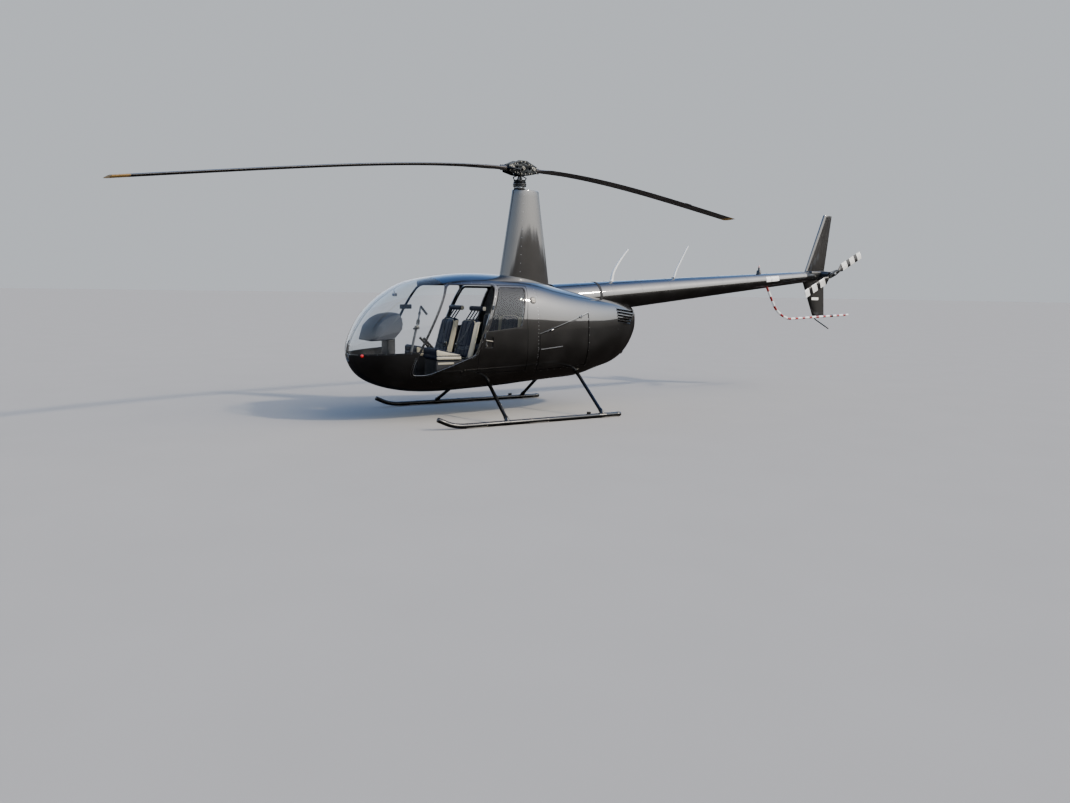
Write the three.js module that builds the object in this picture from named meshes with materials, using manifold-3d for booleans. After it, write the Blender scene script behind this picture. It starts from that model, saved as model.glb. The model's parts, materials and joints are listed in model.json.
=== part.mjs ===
// A light four-seat helicopter with two-blade rotors, parked on its skids with both front doors off.
// Sizes are millimetres: +X is the helicopter's left, -Y its nose, +Z up, and the ground is z = 0.
// Inside the airframe group y counts aft from the main rotor mast.
import * as THREE from 'three';
import { mergeVertices } from 'three/addons/utils/BufferGeometryUtils.js';
import Module from 'manifold-3d';

const wasm = await Module();
wasm.setup();

// Driving sizes
const mastY = -842; // the mast's place in the part's frame
const rotorRadius = 5030;
const mainChord = 254;
const tailRotorRadius = 737;
const tailChord = 130;
const skidHalfTread = 1045;
const skidTube = 30; // radius
const shoe = { thick: 6, halfWidth: 22, spans: [[-1280, -1000], [-420, -140], [660, 940]] };
const skidZ = skidTube + shoe.thick / 2;
const crossTube = 23; // radius
const mast = { radius: 60, footZ: 1560, topZ: 2960, boreLowZ: 1500, boreHighZ: 3050, holeHighZ: 2100 };
const shaftRadius = 28;
const shaftGap = 0.8; // round a turning shaft
const cabinWall = 22;
const cowlWall = 10;
const glazing = 6;
const fitGap = 0.4; // between pieces that rest on each other
const doorGap = 6; // round doors that swing
const firewallY = -170; // aft face of the bulkhead behind the rear seats
const cabinEndY = -40; // seam between the cabin and the engine cowls
const aftCowlY = 810; // seam between the side cowls and the tail cowl

// Finishes
const finish = {
  blackPaint: { color: 0x0b0c0e, roughness: 0.18, metalness: 0.1 },
  satinBlack: { color: 0x17181a, roughness: 0.45, metalness: 0.1 },
  acrylic: { color: 0xbfd4de, roughness: 0.05, metalness: 0, transparent: true, opacity: 0.3 },
  navyLeather: { color: 0x1c2740, roughness: 0.6, metalness: 0 },
  darkPlastic: { color: 0x202226, roughness: 0.55, metalness: 0 },
  steel: { color: 0x8d9196, roughness: 0.35, metalness: 0.9 },
  aluminium: { color: 0xb6babd, roughness: 0.4, metalness: 0.9 },
  white: { color: 0xe9eaea, roughness: 0.35, metalness: 0 },
  castIron: { color: 0x55585c, roughness: 0.6, metalness: 0.6 },
  redLens: { color: 0xc01818, roughness: 0.2, metalness: 0 },
  clearLens: { color: 0xe8eef2, roughness: 0.1, metalness: 0 },
};

const airframe = new THREE.Group();
airframe.position.y = mastY;

function addPiece(parent, name, geometry, look) {
  const mesh = new THREE.Mesh(geometry, new THREE.MeshStandardMaterial(look));
  mesh.name = name;
  parent.add(mesh);
  return mesh;
}

// Solids and booleans
function signedVolume(geometry) {
  const p = geometry.attributes.position;
  const [a, b, c] = [new THREE.Vector3(), new THREE.Vector3(), new THREE.Vector3()];
  let volume = 0;
  for (let i = 0; i < geometry.index.count; i += 3) {
    a.fromBufferAttribute(p, geometry.index.getX(i));
    b.fromBufferAttribute(p, geometry.index.getX(i + 1));
    c.fromBufferAttribute(p, geometry.index.getX(i + 2));
    volume += a.dot(b.cross(c)) / 6;
  }
  return volume;
}

function welded(geometry) {
  const bare = geometry.clone();
  bare.deleteAttribute('normal');
  bare.deleteAttribute('uv');
  const merged = mergeVertices(bare, 1e-3);
  if (signedVolume(merged) < 0) merged.index.array.reverse();
  return merged;
}

function toSolid(geometry) {
  const merged = welded(geometry);
  return new wasm.Manifold(new wasm.Mesh({
    numProp: 3,
    vertProperties: new Float32Array(merged.attributes.position.array),
    triVerts: new Uint32Array(merged.index.array),
  }));
}

function toGeometry(solid) {
  const mesh = solid.getMesh();
  const geometry = new THREE.BufferGeometry();
  geometry.setAttribute('position', new THREE.BufferAttribute(mesh.vertProperties, 3));
  geometry.setIndex(new THREE.BufferAttribute(mesh.triVerts, 1));
  geometry.computeVertexNormals();
  return geometry;
}

const joined = (...solids) => solids.reduce((sum, solid) => sum.add(solid));
const cutBy = (solid, ...cutters) => cutters.reduce((rest, cutter) => rest.subtract(cutter), solid);

function box(low, high) {
  const size = high.map((value, axis) => value - low[axis]);
  const geometry = new THREE.BoxGeometry(...size);
  geometry.translate(...low.map((value, axis) => value + size[axis] / 2));
  return toSolid(geometry);
}

// A round bar between two points, wider or narrower at its far end where a second radius is given
function bar(from, to, radius, endRadius = radius, sides = 16) {
  const [start, end] = [new THREE.Vector3(...from), new THREE.Vector3(...to)];
  const geometry = new THREE.CylinderGeometry(endRadius, radius, start.distanceTo(end), sides);
  const turn = new THREE.Quaternion().setFromUnitVectors(
    new THREE.Vector3(0, 1, 0), end.clone().sub(start).normalize());
  geometry.applyQuaternion(turn);
  const middle = start.add(end).multiplyScalar(0.5);
  geometry.translate(middle.x, middle.y, middle.z);
  return toSolid(geometry);
}

// A round tube's outer form along a path with rounded corners
function bentBar(points, bendRadius, radius, sides = 12, bendSteps = 5) {
  const corners = points.map((point) => new THREE.Vector3(...point));
  const path = new THREE.CurvePath();
  let from = corners[0];
  for (let i = 1; i < corners.length - 1; i += 1) {
    const before = corners[i].clone().lerp(corners[i - 1],
      bendRadius / corners[i].distanceTo(corners[i - 1]));
    const after = corners[i].clone().lerp(corners[i + 1],
      bendRadius / corners[i].distanceTo(corners[i + 1]));
    path.add(new THREE.LineCurve3(from, before));
    path.add(new THREE.QuadraticBezierCurve3(before, corners[i], after));
    from = after;
  }
  path.add(new THREE.LineCurve3(from, corners.at(-1)));
  const stations = path.curves.flatMap((curve) => {
    const steps = curve.isLineCurve3 ? 1 : bendSteps;
    return Array.from({ length: steps }, (unused, step) => ({
      at: curve.getPoint(step / steps), along: curve.getTangent(step / steps) }));
  });
  const last = path.curves.at(-1);
  stations.push({ at: last.getPoint(1), along: last.getTangent(1) });
  const rings = [];
  let side = new THREE.Vector3(0, 0, 1);
  if (Math.abs(stations[0].along.z) > 0.9) side = new THREE.Vector3(1, 0, 0);
  for (const { at, along } of stations) {
    const up = side.clone().addScaledVector(along, -side.dot(along)).normalize();
    const across = along.clone().cross(up);
    side = up;
    rings.push(Array.from({ length: sides }, (unused, k) => {
      const angle = (2 * Math.PI * k) / sides;
      return at.clone().addScaledVector(up, radius * Math.cos(angle))
        .addScaledVector(across, radius * Math.sin(angle));
    }));
  }
  return toSolid(loft(rings));
}

// A closed skin through rings with equal point counts; each end closes on its middle or a given tip
function loft(rings, startTip, endTip) {
  const middle = (ring) => ring.reduce((sum, p) => sum.add(p), new THREE.Vector3())
    .divideScalar(ring.length);
  const points = [startTip ?? middle(rings[0]), ...rings.flat(), endTip ?? middle(rings.at(-1))];
  const count = rings[0].length;
  const last = points.length - 1;
  const index = [];
  for (let k = 0; k < count; k += 1) {
    const next = (k + 1) % count;
    index.push(0, 1 + next, 1 + k);
    index.push(last, last - count + k, last - count + next);
    for (let r = 0; r < rings.length - 1; r += 1) {
      const [a, b] = [1 + r * count + k, 1 + r * count + next];
      index.push(a, b, b + count, a, b + count, a + count);
    }
  }
  const geometry = new THREE.BufferGeometry();
  const flat = points.flatMap((p) => [p.x, p.y, p.z]);
  geometry.setAttribute('position', new THREE.Float32BufferAttribute(flat, 3));
  geometry.setIndex(index);
  return geometry;
}

// Outlines in the side view are lists of [y, z] corners
function grown(outline, distance) {
  const area = outline.reduce((sum, [y, z], i) => {
    const [nextY, nextZ] = outline[(i + 1) % outline.length];
    return sum + y * nextZ - nextY * z;
  }, 0);
  const out = Math.sign(area) * distance;
  return outline.map(([y, z], i) => {
    const [beforeY, beforeZ] = outline.at(i - 1);
    const [afterY, afterZ] = outline[(i + 1) % outline.length];
    const first = new THREE.Vector2(y - beforeY, z - beforeZ).normalize();
    const second = new THREE.Vector2(afterY - y, afterZ - z).normalize();
    const reach = out / (1 + first.dot(second));
    return [y + reach * (first.y + second.y), z - reach * (first.x + second.x)];
  });
}

function roundedShape(outline, radius) {
  if (radius === 0) return new THREE.Shape(outline.map(([y, z]) => new THREE.Vector2(y, z)));
  const corners = outline.map(([y, z]) => new THREE.Vector2(y, z));
  const shape = new THREE.Shape();
  corners.forEach((corner, i) => {
    const before = corners.at(i - 1);
    const after = corners[(i + 1) % corners.length];
    const near = corner.clone().lerp(before, Math.min(0.45, radius / corner.distanceTo(before)));
    const far = corner.clone().lerp(after, Math.min(0.45, radius / corner.distanceTo(after)));
    if (i === 0) shape.moveTo(near.x, near.y);
    else shape.lineTo(near.x, near.y);
    shape.quadraticCurveTo(corner.x, corner.y, far.x, far.y);
  });
  return shape;
}

// A side-view outline pushed across the helicopter from one x to another
function sidePrism(outline, fromX, toX, radius = 0, curveSegments = 3) {
  const geometry = new THREE.ExtrudeGeometry(roundedShape(outline, radius), {
    depth: toX - fromX, bevelEnabled: false, curveSegments,
  });
  geometry.applyMatrix4(new THREE.Matrix4().makeBasis(
    new THREE.Vector3(0, 1, 0), new THREE.Vector3(0, 0, 1), new THREE.Vector3(1, 0, 0)));
  geometry.translate(fromX, 0, 0);
  return toSolid(geometry);
}

// Fuselage: each section is a rounded box, wider or narrower along the length
// Columns: y, top height, bottom height, half width, height of the widest place
const bodyRows = [
  [-2355, 869, 869, 0, 869],
  [-2330, 975, 735, 150, 868],
  [-2240, 1160, 584, 278, 875],
  [-2095, 1360, 477, 398, 890],
  [-1880, 1548, 398, 500, 915],
  [-1600, 1702, 350, 580, 945],
  [-1250, 1782, 336, 628, 975],
  [-850, 1824, 350, 640, 995],
  [-400, 1818, 371, 640, 1005],
  [0, 1775, 402, 630, 1010],
  [400, 1682, 428, 592, 1020],
  [800, 1605, 456, 522, 1040],
  [1150, 1545, 545, 440, 1075],
  [1450, 1505, 628, 350, 1115],
  [1680, 1454, 775, 255, 1155],
  [1830, 1399, 1015, 170, 1190],
  [1922, 1270, 1270, 0, 1270],
];
const ringPoints = 32;
const roofPower = 2.9; // squareness of the upper half
const bellyPower = 2.6;

function bodyRow(t) {
  const i = Math.min(Math.floor(t), bodyRows.length - 2);
  const f = t - i;
  const row = (k) => bodyRows[Math.max(0, Math.min(bodyRows.length - 1, k))];
  return bodyRows[0].map((unused, column) => {
    const [a, b, c, d] = [-1, 0, 1, 2].map((offset) => row(i + offset)[column]);
    return b + 0.5 * f * (c - a + f * (2 * a - 5 * b + 4 * c - d + f * (3 * (b - c) + d - a)));
  });
}

function bodyRing(t) {
  const [y, top, bottom, half, wide] = bodyRow(t);
  return Array.from({ length: ringPoints }, (unused, k) => {
    const angle = (2 * Math.PI * (k + 0.5)) / ringPoints;
    const [c, s] = [Math.cos(angle), Math.sin(angle)];
    const power = s > 0 ? roofPower : bellyPower;
    const reach = s > 0 ? top - wide : wide - bottom;
    return new THREE.Vector3(
      half * Math.sign(c) * Math.abs(c) ** (2 / power), y,
      wide + reach * Math.sign(s) * Math.abs(s) ** (2 / power));
  });
}

const bodySkin = (() => {
  const rings = [];
  const last = bodyRows.length - 1;
  for (let t = 0.35; t < last; t += t < 5 || t > last - 2 ? 0.5 : 1) rings.push(bodyRing(t));
  const tip = ([y, top]) => new THREE.Vector3(0, y, top);
  const geometry = loft(rings, tip(bodyRows[0]), tip(bodyRows[last]));
  const merged = welded(geometry);
  merged.computeVertexNormals();
  return merged;
})();

// The whole body form, drawn in by a wall thickness
function bodyForm(inset) {
  const geometry = bodySkin.clone();
  const [p, n] = [geometry.attributes.position, geometry.attributes.normal];
  for (let i = 0; i < p.count; i += 1) {
    p.setXYZ(i, p.getX(i) - inset * n.getX(i), p.getY(i) - inset * n.getY(i),
      p.getZ(i) - inset * n.getZ(i));
  }
  return toSolid(geometry);
}

const outerForm = bodyForm(0);
const cabinForm = bodyForm(cabinWall);
const cowlForm = bodyForm(cowlWall);
const glassForm = bodyForm(glazing);
const everywhere = 7000;

const between = (fromY, toY) => box([-everywhere, fromY, -everywhere], [everywhere, toY, everywhere]);

// Half width of the fuselage at one height of one station
function skinX(y, z) {
  let [low, high] = [0, bodyRows.length - 1];
  for (let i = 0; i < 40; i += 1) {
    const middle = (low + high) / 2;
    if (bodyRow(middle)[0] < y) low = middle;
    else high = middle;
  }
  const [, top, bottom, half, wide] = bodyRow(low);
  const power = z > wide ? roofPower : bellyPower;
  const reach = z > wide ? top - wide : wide - bottom;
  return half * (1 - (Math.abs(z - wide) / reach) ** power) ** (1 / power);
}

// Openings in the side view
const frontDoorway = [[-1238, 1668], [-1700, 724], [-1718, 590], [-1530, 592], [-938, 824], [-618, 1672]];
const rearDoor = [[-590, 1668], [-898, 850], [-898, 600], [-205, 600], [-222, 1300], [-165, 1668]];
const rearWindow = [[-568, 1642], [-778, 1107], [-305, 1162], [-276, 1309], [-200, 1642]];
const windshield = [[-1264, 1660], [-1655, 858], [-2600, 815], [-2600, 1980], [-1365, 1980],
  [-1365, 1780]];
const cowlEdge = (rearY) => [[-26, 1056], [rearY, 1064 + 0.324 * rearY], [rearY, 640], [-26, 600]];
const sideCowl = cowlEdge(784); // its upper aft corner swings aft as it lifts
const cowlOpening = cowlEdge(794);
const centreStrip = 24; // half width of the strip between the windshields
const outboard = 900;
const sides = [['left', 1], ['right', -1]];

const across = (outline, side, inner = 0, radius = 0) => sidePrism(outline,
  Math.min(side * inner, side * outboard), Math.max(side * inner, side * outboard), radius);

// Hinge lines on the left side: two knuckles each, and how far the arms reach in to both panels
const hinges = {
  rearDoor: { knuckles: [[655, -828, 1050], [628, -696, 1400]], panelArm: [-25, 15, 0],
    frameArm: [-25, -15, 0] },
  sideCowl: { knuckles: [[632, 150, 1116], [551, 650, 1278]], panelArm: [-18, 0, -26],
    frameArm: [-31, 0, 26] },
};
const knuckle = { half: 12, reach: 26, radius: 7, armRadius: 5 };

function mirrored([x, y, z], side) {
  return new THREE.Vector3(side * x, y, z);
}

// The pieces of one side's hinges that ride on the panel, and those that stay on the frame
function hingeForms({ knuckles, panelArm, frameArm }, side) {
  const [low, high] = knuckles.map((point) => mirrored(point, side));
  const along = high.clone().sub(low).normalize();
  const shifted = (point, distance) => point.clone().addScaledVector(along, distance).toArray();
  const pin = (point, from, to) => bar(shifted(point, from), shifted(point, to), knuckle.radius,
    knuckle.radius, 8);
  const arm = (point, distance, reach) => {
    const start = new THREE.Vector3(...shifted(point, distance));
    const square = mirrored(reach, side).projectOnPlane(along);
    return bar(start.toArray(), start.clone().add(square).toArray(),
      knuckle.armRadius, knuckle.armRadius, 6);
  };
  const outerMiddle = (knuckle.half + knuckle.reach) / 2;
  return [low, high].map((point) => ({
    panel: joined(pin(point, -knuckle.half, knuckle.half), arm(point, 0, panelArm)),
    frame: joined(...[-1, 1].flatMap((end) => [
      pin(point, ...[end * (knuckle.half + fitGap), end * knuckle.reach].sort((a, b) => a - b)),
      arm(point, end * outerMiddle, frameArm)])),
  }));
}

// Landing gear
const skidHeel = 966;
const handlingLug = { y: 463, z: 92 }; // where the ground wheels clip on
const skidToe = { y: -1637, z: 132 };
const crossTubes = [
  { name: 'front_cross_tube', footY: -726, bodyY: -640, bodyZ: 405, acrossZ: 455 },
  { name: 'rear_cross_tube', footY: 672, bodyY: 699, bodyZ: 500, acrossZ: 548 },
];

function crossTubePath({ footY, bodyY, bodyZ, acrossZ }) {
  const half = [[330, bodyY, acrossZ], [430, bodyY, bodyZ], [skidHalfTread, footY, skidZ + skidTube]];
  const other = half.map(([x, y, z]) => [-x, y, z]).reverse();
  return [...other, ...half];
}

const tubeForm = (tube, extra = 0) => bentBar(crossTubePath(tube), 50, crossTube + extra, 12, 3);
const tubeHoles = crossTubes.map((tube) => tubeForm(tube, 2 * fitGap));
const mastHole = bar([0, 0, mast.boreLowZ], [0, 0, mast.holeHighZ], mast.radius + fitGap,
  mast.radius + fitGap, 24);

function buildLandingGear() {
  for (const tube of crossTubes) {
    const skidForms = [1, -1].map((side) => skidForm(side, fitGap));
    addPiece(airframe, tube.name, toGeometry(cutBy(tubeForm(tube), ...skidForms)), finish.satinBlack);
  }
  for (const [name, side] of sides) {
    const x = side * skidHalfTread;
    const shoes = shoe.spans.map(([fromY, toY]) => box([x - shoe.halfWidth, fromY, 0],
      [x + shoe.halfWidth, toY, shoe.thick + 4]));
    const lug = box([x - 14, handlingLug.y - 24, skidZ], [x + 14, handlingLug.y + 24, handlingLug.z]);
    addPiece(airframe, `skid_${name}`, toGeometry(joined(skidForm(side), lug, ...shoes)),
      finish.satinBlack);
  }
}

function skidForm(side, extra = 0) {
  const x = side * skidHalfTread;
  const path = [[x, skidHeel, skidZ], [x, -1420, skidZ], [x, skidToe.y, skidToe.z]];
  return bentBar(path, 170, skidTube + extra, 12, 5);
}

// Cabin
const lamp = { z: 788, radius: 42, thick: 12, frontY: -2500, aftY: -2200 };
const navLamp = { y: -2252, z: 822, radius: 20 };

function buildCabin() {
  let shell = cutBy(outerForm, cabinForm).intersect(between(-everywhere, cabinEndY - fitGap));
  const lampForm = (extra) => bar([0, lamp.frontY, lamp.z], [0, lamp.aftY, lamp.z],
    lamp.radius + extra);
  shell = cutBy(shell, lampForm(fitGap), mastHole, ...tubeHoles);
  for (const [name, side] of sides) {
    const glassArea = across(windshield, side, centreStrip);
    const glass = cutBy(outerForm, glassForm).intersect(glassArea);
    addPiece(airframe, `windshield_${name}`, toGeometry(glass), finish.acrylic);
    shell = cutBy(shell, across(grown(windshield, fitGap), side, centreStrip - fitGap));
    shell = cutBy(shell, across(frontDoorway, side, 0, 60));
    shell = cutBy(shell, across(grown(rearDoor, doorGap), side, 0, 30));
    const doorHinges = hingeForms(hinges.rearDoor, side);
    shell = joined(shell, ...doorHinges.map(({ frame }) => frame));
    buildRearDoor(name, side, doorHinges);
    const navX = side * skinX(navLamp.y, navLamp.z);
    const dome = new THREE.SphereGeometry(navLamp.radius, 12, 8);
    dome.translate(navX, navLamp.y, navLamp.z);
    const domeForm = toSolid(dome);
    addPiece(airframe, `nav_light_${name}`, toGeometry(cutBy(domeForm, bodyForm(-fitGap))),
      side > 0 ? finish.redLens : finish.clearLens);
  }
  addPiece(airframe, 'cabin_shell', toGeometry(shell), finish.blackPaint);
  const lens = cutBy(outerForm, bodyForm(lamp.thick)).intersect(lampForm(0));
  addPiece(airframe, 'landing_light', toGeometry(lens), finish.clearLens);
  buildFloorAndFirewall();
}

function buildRearDoor(name, side, doorHinges) {
  const wall = cutBy(outerForm, cabinForm);
  const windowArea = across(rearWindow, side, 0, 40);
  const windowHole = across(grown(rearWindow, fitGap), side, 0, 40);
  const door = cutBy(wall.intersect(across(rearDoor, side, 0, 30)), windowHole);
  const hung = joined(door, ...doorHinges.map(({ panel }) => panel));
  addPiece(airframe, `rear_door_${name}`, toGeometry(hung), finish.blackPaint);
  const pane = cutBy(outerForm, glassForm).intersect(windowArea);
  addPiece(airframe, `rear_window_${name}`, toGeometry(pane), finish.acrylic);
}

const floorTop = 510;
const floorThick = 16;

// The floor carries the boxes under the seats
function buildFloorAndFirewall() {
  const inside = bodyForm(cabinWall + fitGap);
  let floor = box([-everywhere, -2140, floorTop - floorThick], [everywhere, -24, floorTop]);
  for (const seat of [frontSeat, rearSeat]) {
    for (const [, side] of sides) floor = floor.add(seatBoxForm(seat, side));
  }
  floor = floor.intersect(inside);
  addPiece(airframe, 'cabin_floor', toGeometry(floor), finish.darkPlastic);
  const doorSwing = joined(...sides.map(([, side]) => across(grown(rearDoor, doorGap), side)));
  const wall = cutBy(inside.intersect(box([-everywhere, firewallY - 20, floorTop + fitGap],
    [everywhere, firewallY, everywhere])), cutBy(doorSwing, bodyForm(cabinWall + doorGap)));
  addPiece(airframe, 'firewall', toGeometry(wall), finish.darkPlastic);
}

// Seats: the front ones are two, the rear one a bench
const seatTop = 880;
const cushionThick = 120;
const frontSeat = { frontY: -1425, depth: 350, inner: 95, outer: 530, backGap: 60, backFoot: 80,
  topRise: 20, topFall: 55 };
const rearSeat = { frontY: -700, depth: 380, inner: 12, outer: 510, backGap: 0, backFoot: 70,
  topRise: 0, topFall: 0 };
const boxWall = 14;
const seatBoxInset = 35; // the boxes are narrower than the cushions
const seatBack = { topZ: 1250, thick: 80, lean: 130 };
const headrest = { bottomZ: 1350, topZ: 1412, thick: 58, aft: 250, posts: 4, postRadius: 8 };

// An open-topped box under each cushion: the stowage space that the cushion closes
function seatBoxForm(seat, side) {
  const [x0, x1] = seatSpan(seat, side);
  const low = [x0 + seatBoxInset, seat.frontY + 20, floorTop - 1];
  const high = [x1 - seatBoxInset, seatBackY(seat) + seat.backFoot,
    seatTop - cushionThick - fitGap];
  const room = box(low.map((value, axis) => value + (axis < 2 ? boxWall : 1)),
    [high[0] - boxWall, seat.frontY + seat.depth - boxWall, high[2] + 10]);
  return cutBy(box(low, high), room);
}

function seatSpan({ inner, outer }, side) {
  return [Math.min(side * inner, side * outer), Math.max(side * inner, side * outer)];
}

const seatBackY = (seat) => seat.frontY + seat.depth + seat.backGap;

// The front cushions are higher under the knees than at the back
function cushionForm(seat, side) {
  const aftY = seat.frontY + seat.depth;
  const bottomZ = seatTop - cushionThick;
  const shape = [[seat.frontY, bottomZ], [aftY, bottomZ], [aftY, seatTop - seat.topFall],
    [seat.frontY, seatTop + seat.topRise]];
  return sidePrism(shape, ...seatSpan(seat, side), 30, 3);
}

function slab(low, high, lean, radius = 20) {
  const shape = [[low[1], low[2]], [high[1], low[2]], [high[1] + lean, high[2]],
    [low[1] + lean, high[2]]];
  return sidePrism(shape, low[0], high[0], radius, 3);
}

function buildSeats() {
  const bottomZ = seatTop - cushionThick;
  for (const [name, side] of sides) {
    const [x0, x1] = seatSpan(frontSeat, side);
    addPiece(airframe, `front_cushion_${name}`, toGeometry(cushionForm(frontSeat, side)),
      finish.navyLeather);
    const backY = seatBackY(frontSeat);
    const back = slab([x0, backY + fitGap, bottomZ],
      [x1, backY + fitGap + seatBack.thick, seatBack.topZ], seatBack.lean, 30);
    const backAndRest = back.add(headrestForm(x0, x1, backY));
    addPiece(airframe, `front_seat_back_${name}`, toGeometry(backAndRest), finish.navyLeather);
  }
  for (const [name, side] of sides) {
    const [x0, x1] = seatSpan(rearSeat, side);
    const backY = seatBackY(rearSeat);
    addPiece(airframe, `rear_cushion_${name}`, toGeometry(cushionForm(rearSeat, side)),
      finish.navyLeather);
    const back = slab([x0, backY + fitGap, bottomZ],
      [x1, backY + fitGap + rearSeat.backFoot, seatBack.topZ + 60], rearSeat.backFoot - 20, 20);
    addPiece(airframe, `rear_seat_back_${name}`, toGeometry(back), finish.navyLeather);
  }
}

function headrestForm(x0, x1, backY) {
  const y = backY + headrest.aft;
  let rest = slab([x0 + 20, y - headrest.thick / 2, headrest.bottomZ],
    [x1 - 20, y + headrest.thick / 2, headrest.topZ], 4, 15);
  for (let i = 0; i < headrest.posts; i += 1) {
    const x = x0 + 90 + (i * (x1 - x0 - 180)) / (headrest.posts - 1);
    rest = rest.add(bar([x, y - 115, seatBack.topZ - 40], [x, y, headrest.bottomZ + 20],
      headrest.postRadius, headrest.postRadius, 8));
  }
  return rest;
}

// Controls
const hood = {
  outline: [[-2140, 985], [-2085, 1170], [-1990, 1265], [-1900, 1310], [-1772, 1330], [-1742, 1270],
    [-1742, 1115], [-1850, 1000]],
  half: 270, corner: 25,
};
const pedestal = { half: 115, frontY: -1880, aftY: -1780, topZ: 1030 };
const cyclic = {
  base: { half: 60, frontY: -1580, aftY: -1480, topZ: 780 },
  stick: [[0, -1545, 770], [0, -1455, 1150]], stickRadius: 17,
  arm: [[12, -1455, 1135], [-245, -1300, 1392]], armRadius: 12,
  grip: [[-240, -1303, 1398], [-262, -1205, 1290]], gripRadius: 17,
};
const collective = {
  x: 62, pivotY: -960, pivotZ: 560, pivotHalf: 70, pivotRadius: 14,
  tipY: -1290, tipZ: 905, radius: 11,
  gripFrom: [-1250, 863], gripTo: [-1390, 1010], gripRadius: 17,
  postHalfX: 12, postHalfY: 25,
};
const pedal = {
  x: 175, y: -1905, z: 575, spread: 65, barOver: 75, barRadius: 12,
  postHalfX: 25, postHalfY: 20, postOver: 10,
  armLean: 35, armTopZ: 690, armRadius: 9,
  plateHalf: 38, plateNear: 33, plateFar: 48, plateLowZ: 670, plateHighZ: 745,
};

function consoleForm() {
  return joined(sidePrism(hood.outline, -hood.half, hood.half, hood.corner, 3),
    box([-pedestal.half, pedestal.frontY, floorTop + fitGap],
      [pedestal.half, pedestal.aftY, pedestal.topZ]));
}

function cyclicForm() {
  const { base } = cyclic;
  return joined(
    box([-base.half, base.frontY, floorTop + fitGap], [base.half, base.aftY, base.topZ]),
    bar(...cyclic.stick, cyclic.stickRadius), bar(...cyclic.arm, cyclic.armRadius),
    bar(...cyclic.grip, cyclic.gripRadius));
}

function collectiveForm() {
  const { pivotY, pivotZ, pivotHalf } = collective;
  let form = bar([-pivotHalf, pivotY, pivotZ], [pivotHalf, pivotY, pivotZ], collective.pivotRadius);
  for (const [, side] of sides) {
    const x = side * collective.x;
    form = joined(form,
      bar([x, pivotY, pivotZ], [x, collective.tipY, collective.tipZ], collective.radius),
      bar([x, ...collective.gripFrom], [x, ...collective.gripTo], collective.gripRadius),
      box([x - collective.postHalfX, pivotY - collective.postHalfY, floorTop + fitGap],
        [x + collective.postHalfX, pivotY + collective.postHalfY, pivotZ]));
  }
  return form;
}

function pedalsForm() {
  const reach = pedal.x + pedal.barOver;
  let form = bar([-reach, pedal.y, pedal.z], [reach, pedal.y, pedal.z], pedal.barRadius,
    pedal.barRadius, 8);
  for (const [, side] of sides) {
    const postX = side * pedal.x;
    form = form.add(box([postX - pedal.postHalfX, pedal.y - pedal.postHalfY, floorTop + fitGap],
      [postX + pedal.postHalfX, pedal.y + pedal.postHalfY, pedal.z + pedal.postOver]));
    for (const offset of [-pedal.spread, pedal.spread]) {
      const x = postX + offset;
      form = joined(form,
        bar([x, pedal.y, pedal.z], [x, pedal.y - pedal.armLean, pedal.armTopZ], pedal.armRadius,
          pedal.armRadius, 8),
        box([x - pedal.plateHalf, pedal.y - pedal.plateFar, pedal.plateLowZ],
          [x + pedal.plateHalf, pedal.y - pedal.plateNear, pedal.plateHighZ]));
    }
  }
  return form;
}

function buildControls() {
  addPiece(airframe, 'instrument_console', toGeometry(consoleForm()), finish.darkPlastic);
  addPiece(airframe, 'cyclic_control', toGeometry(cyclicForm()), finish.satinBlack);
  addPiece(airframe, 'collective_levers', toGeometry(collectiveForm()), finish.satinBlack);
  addPiece(airframe, 'pedals', toGeometry(pedalsForm()), finish.satinBlack);
}

// Mast, tail cone and the cowls round them
const cone = { frontY: 500, frontR: 236, frontZ: 1473, endY: 5460, endR: 91, endZ: 1907, wall: 5 };
const fairing = { baseZ: 1700, topZ: 2920, baseFront: -303, baseAft: 469, topFront: -108,
  topAft: 292, baseHalf: 135, topHalf: 95, fullness: 1.742, wall: 8 };
const swashplate = { lowZ: 2952, highZ: 3004, radius: 90, turningZ: 3010, turningThick: 34,
  turningRadius: 84 };
const gearbox = { low: [-150, -110, 1280], high: [150, 260, mast.footZ - fitGap] };
const engine = { low: [-330, 140, 640], high: [330, 780, 960],
  feet: { x: 230, half: 22, starts: [220, 560], length: 50, lowZ: 400, highZ: 645 } };
const louvre = { count: 5, lowZ: 1206, pitch: 40, high: 22, drop: 44, frontY: 1382, aftY: 1700,
  aftStep: 20, innerX: 60 };

function conePoint(y) {
  const t = (y - cone.frontY) / (cone.endY - cone.frontY);
  return { r: cone.frontR + t * (cone.endR - cone.frontR), z: cone.frontZ + t * (cone.endZ - cone.frontZ) };
}

function coneForm(inset, fromY = cone.frontY, toY = cone.endY) {
  const [a, b] = [conePoint(fromY), conePoint(toY)];
  return bar([0, fromY, a.z], [0, toY, b.z], a.r - inset, b.r - inset, 32);
}

function fairingRing(z, inset) {
  const t = (z - fairing.baseZ) / (fairing.topZ - fairing.baseZ);
  const mix = (a, b) => a + t * (b - a);
  const front = mix(fairing.baseFront, fairing.topFront) + inset;
  const aft = mix(fairing.baseAft, fairing.topAft) - inset * 1.5;
  const half = mix(fairing.baseHalf, fairing.topHalf) - inset;
  const count = 28;
  return Array.from({ length: count }, (unused, k) => {
    const angle = (2 * Math.PI * k) / count;
    const along = 0.5 - 0.5 * Math.cos(angle);
    const width = half * fairing.fullness * Math.sign(Math.sin(angle))
      * Math.sqrt(Math.max(0, along)) * (1 - along) ** 0.62;
    return new THREE.Vector3(width, front + along * (aft - front), z);
  });
}

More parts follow.
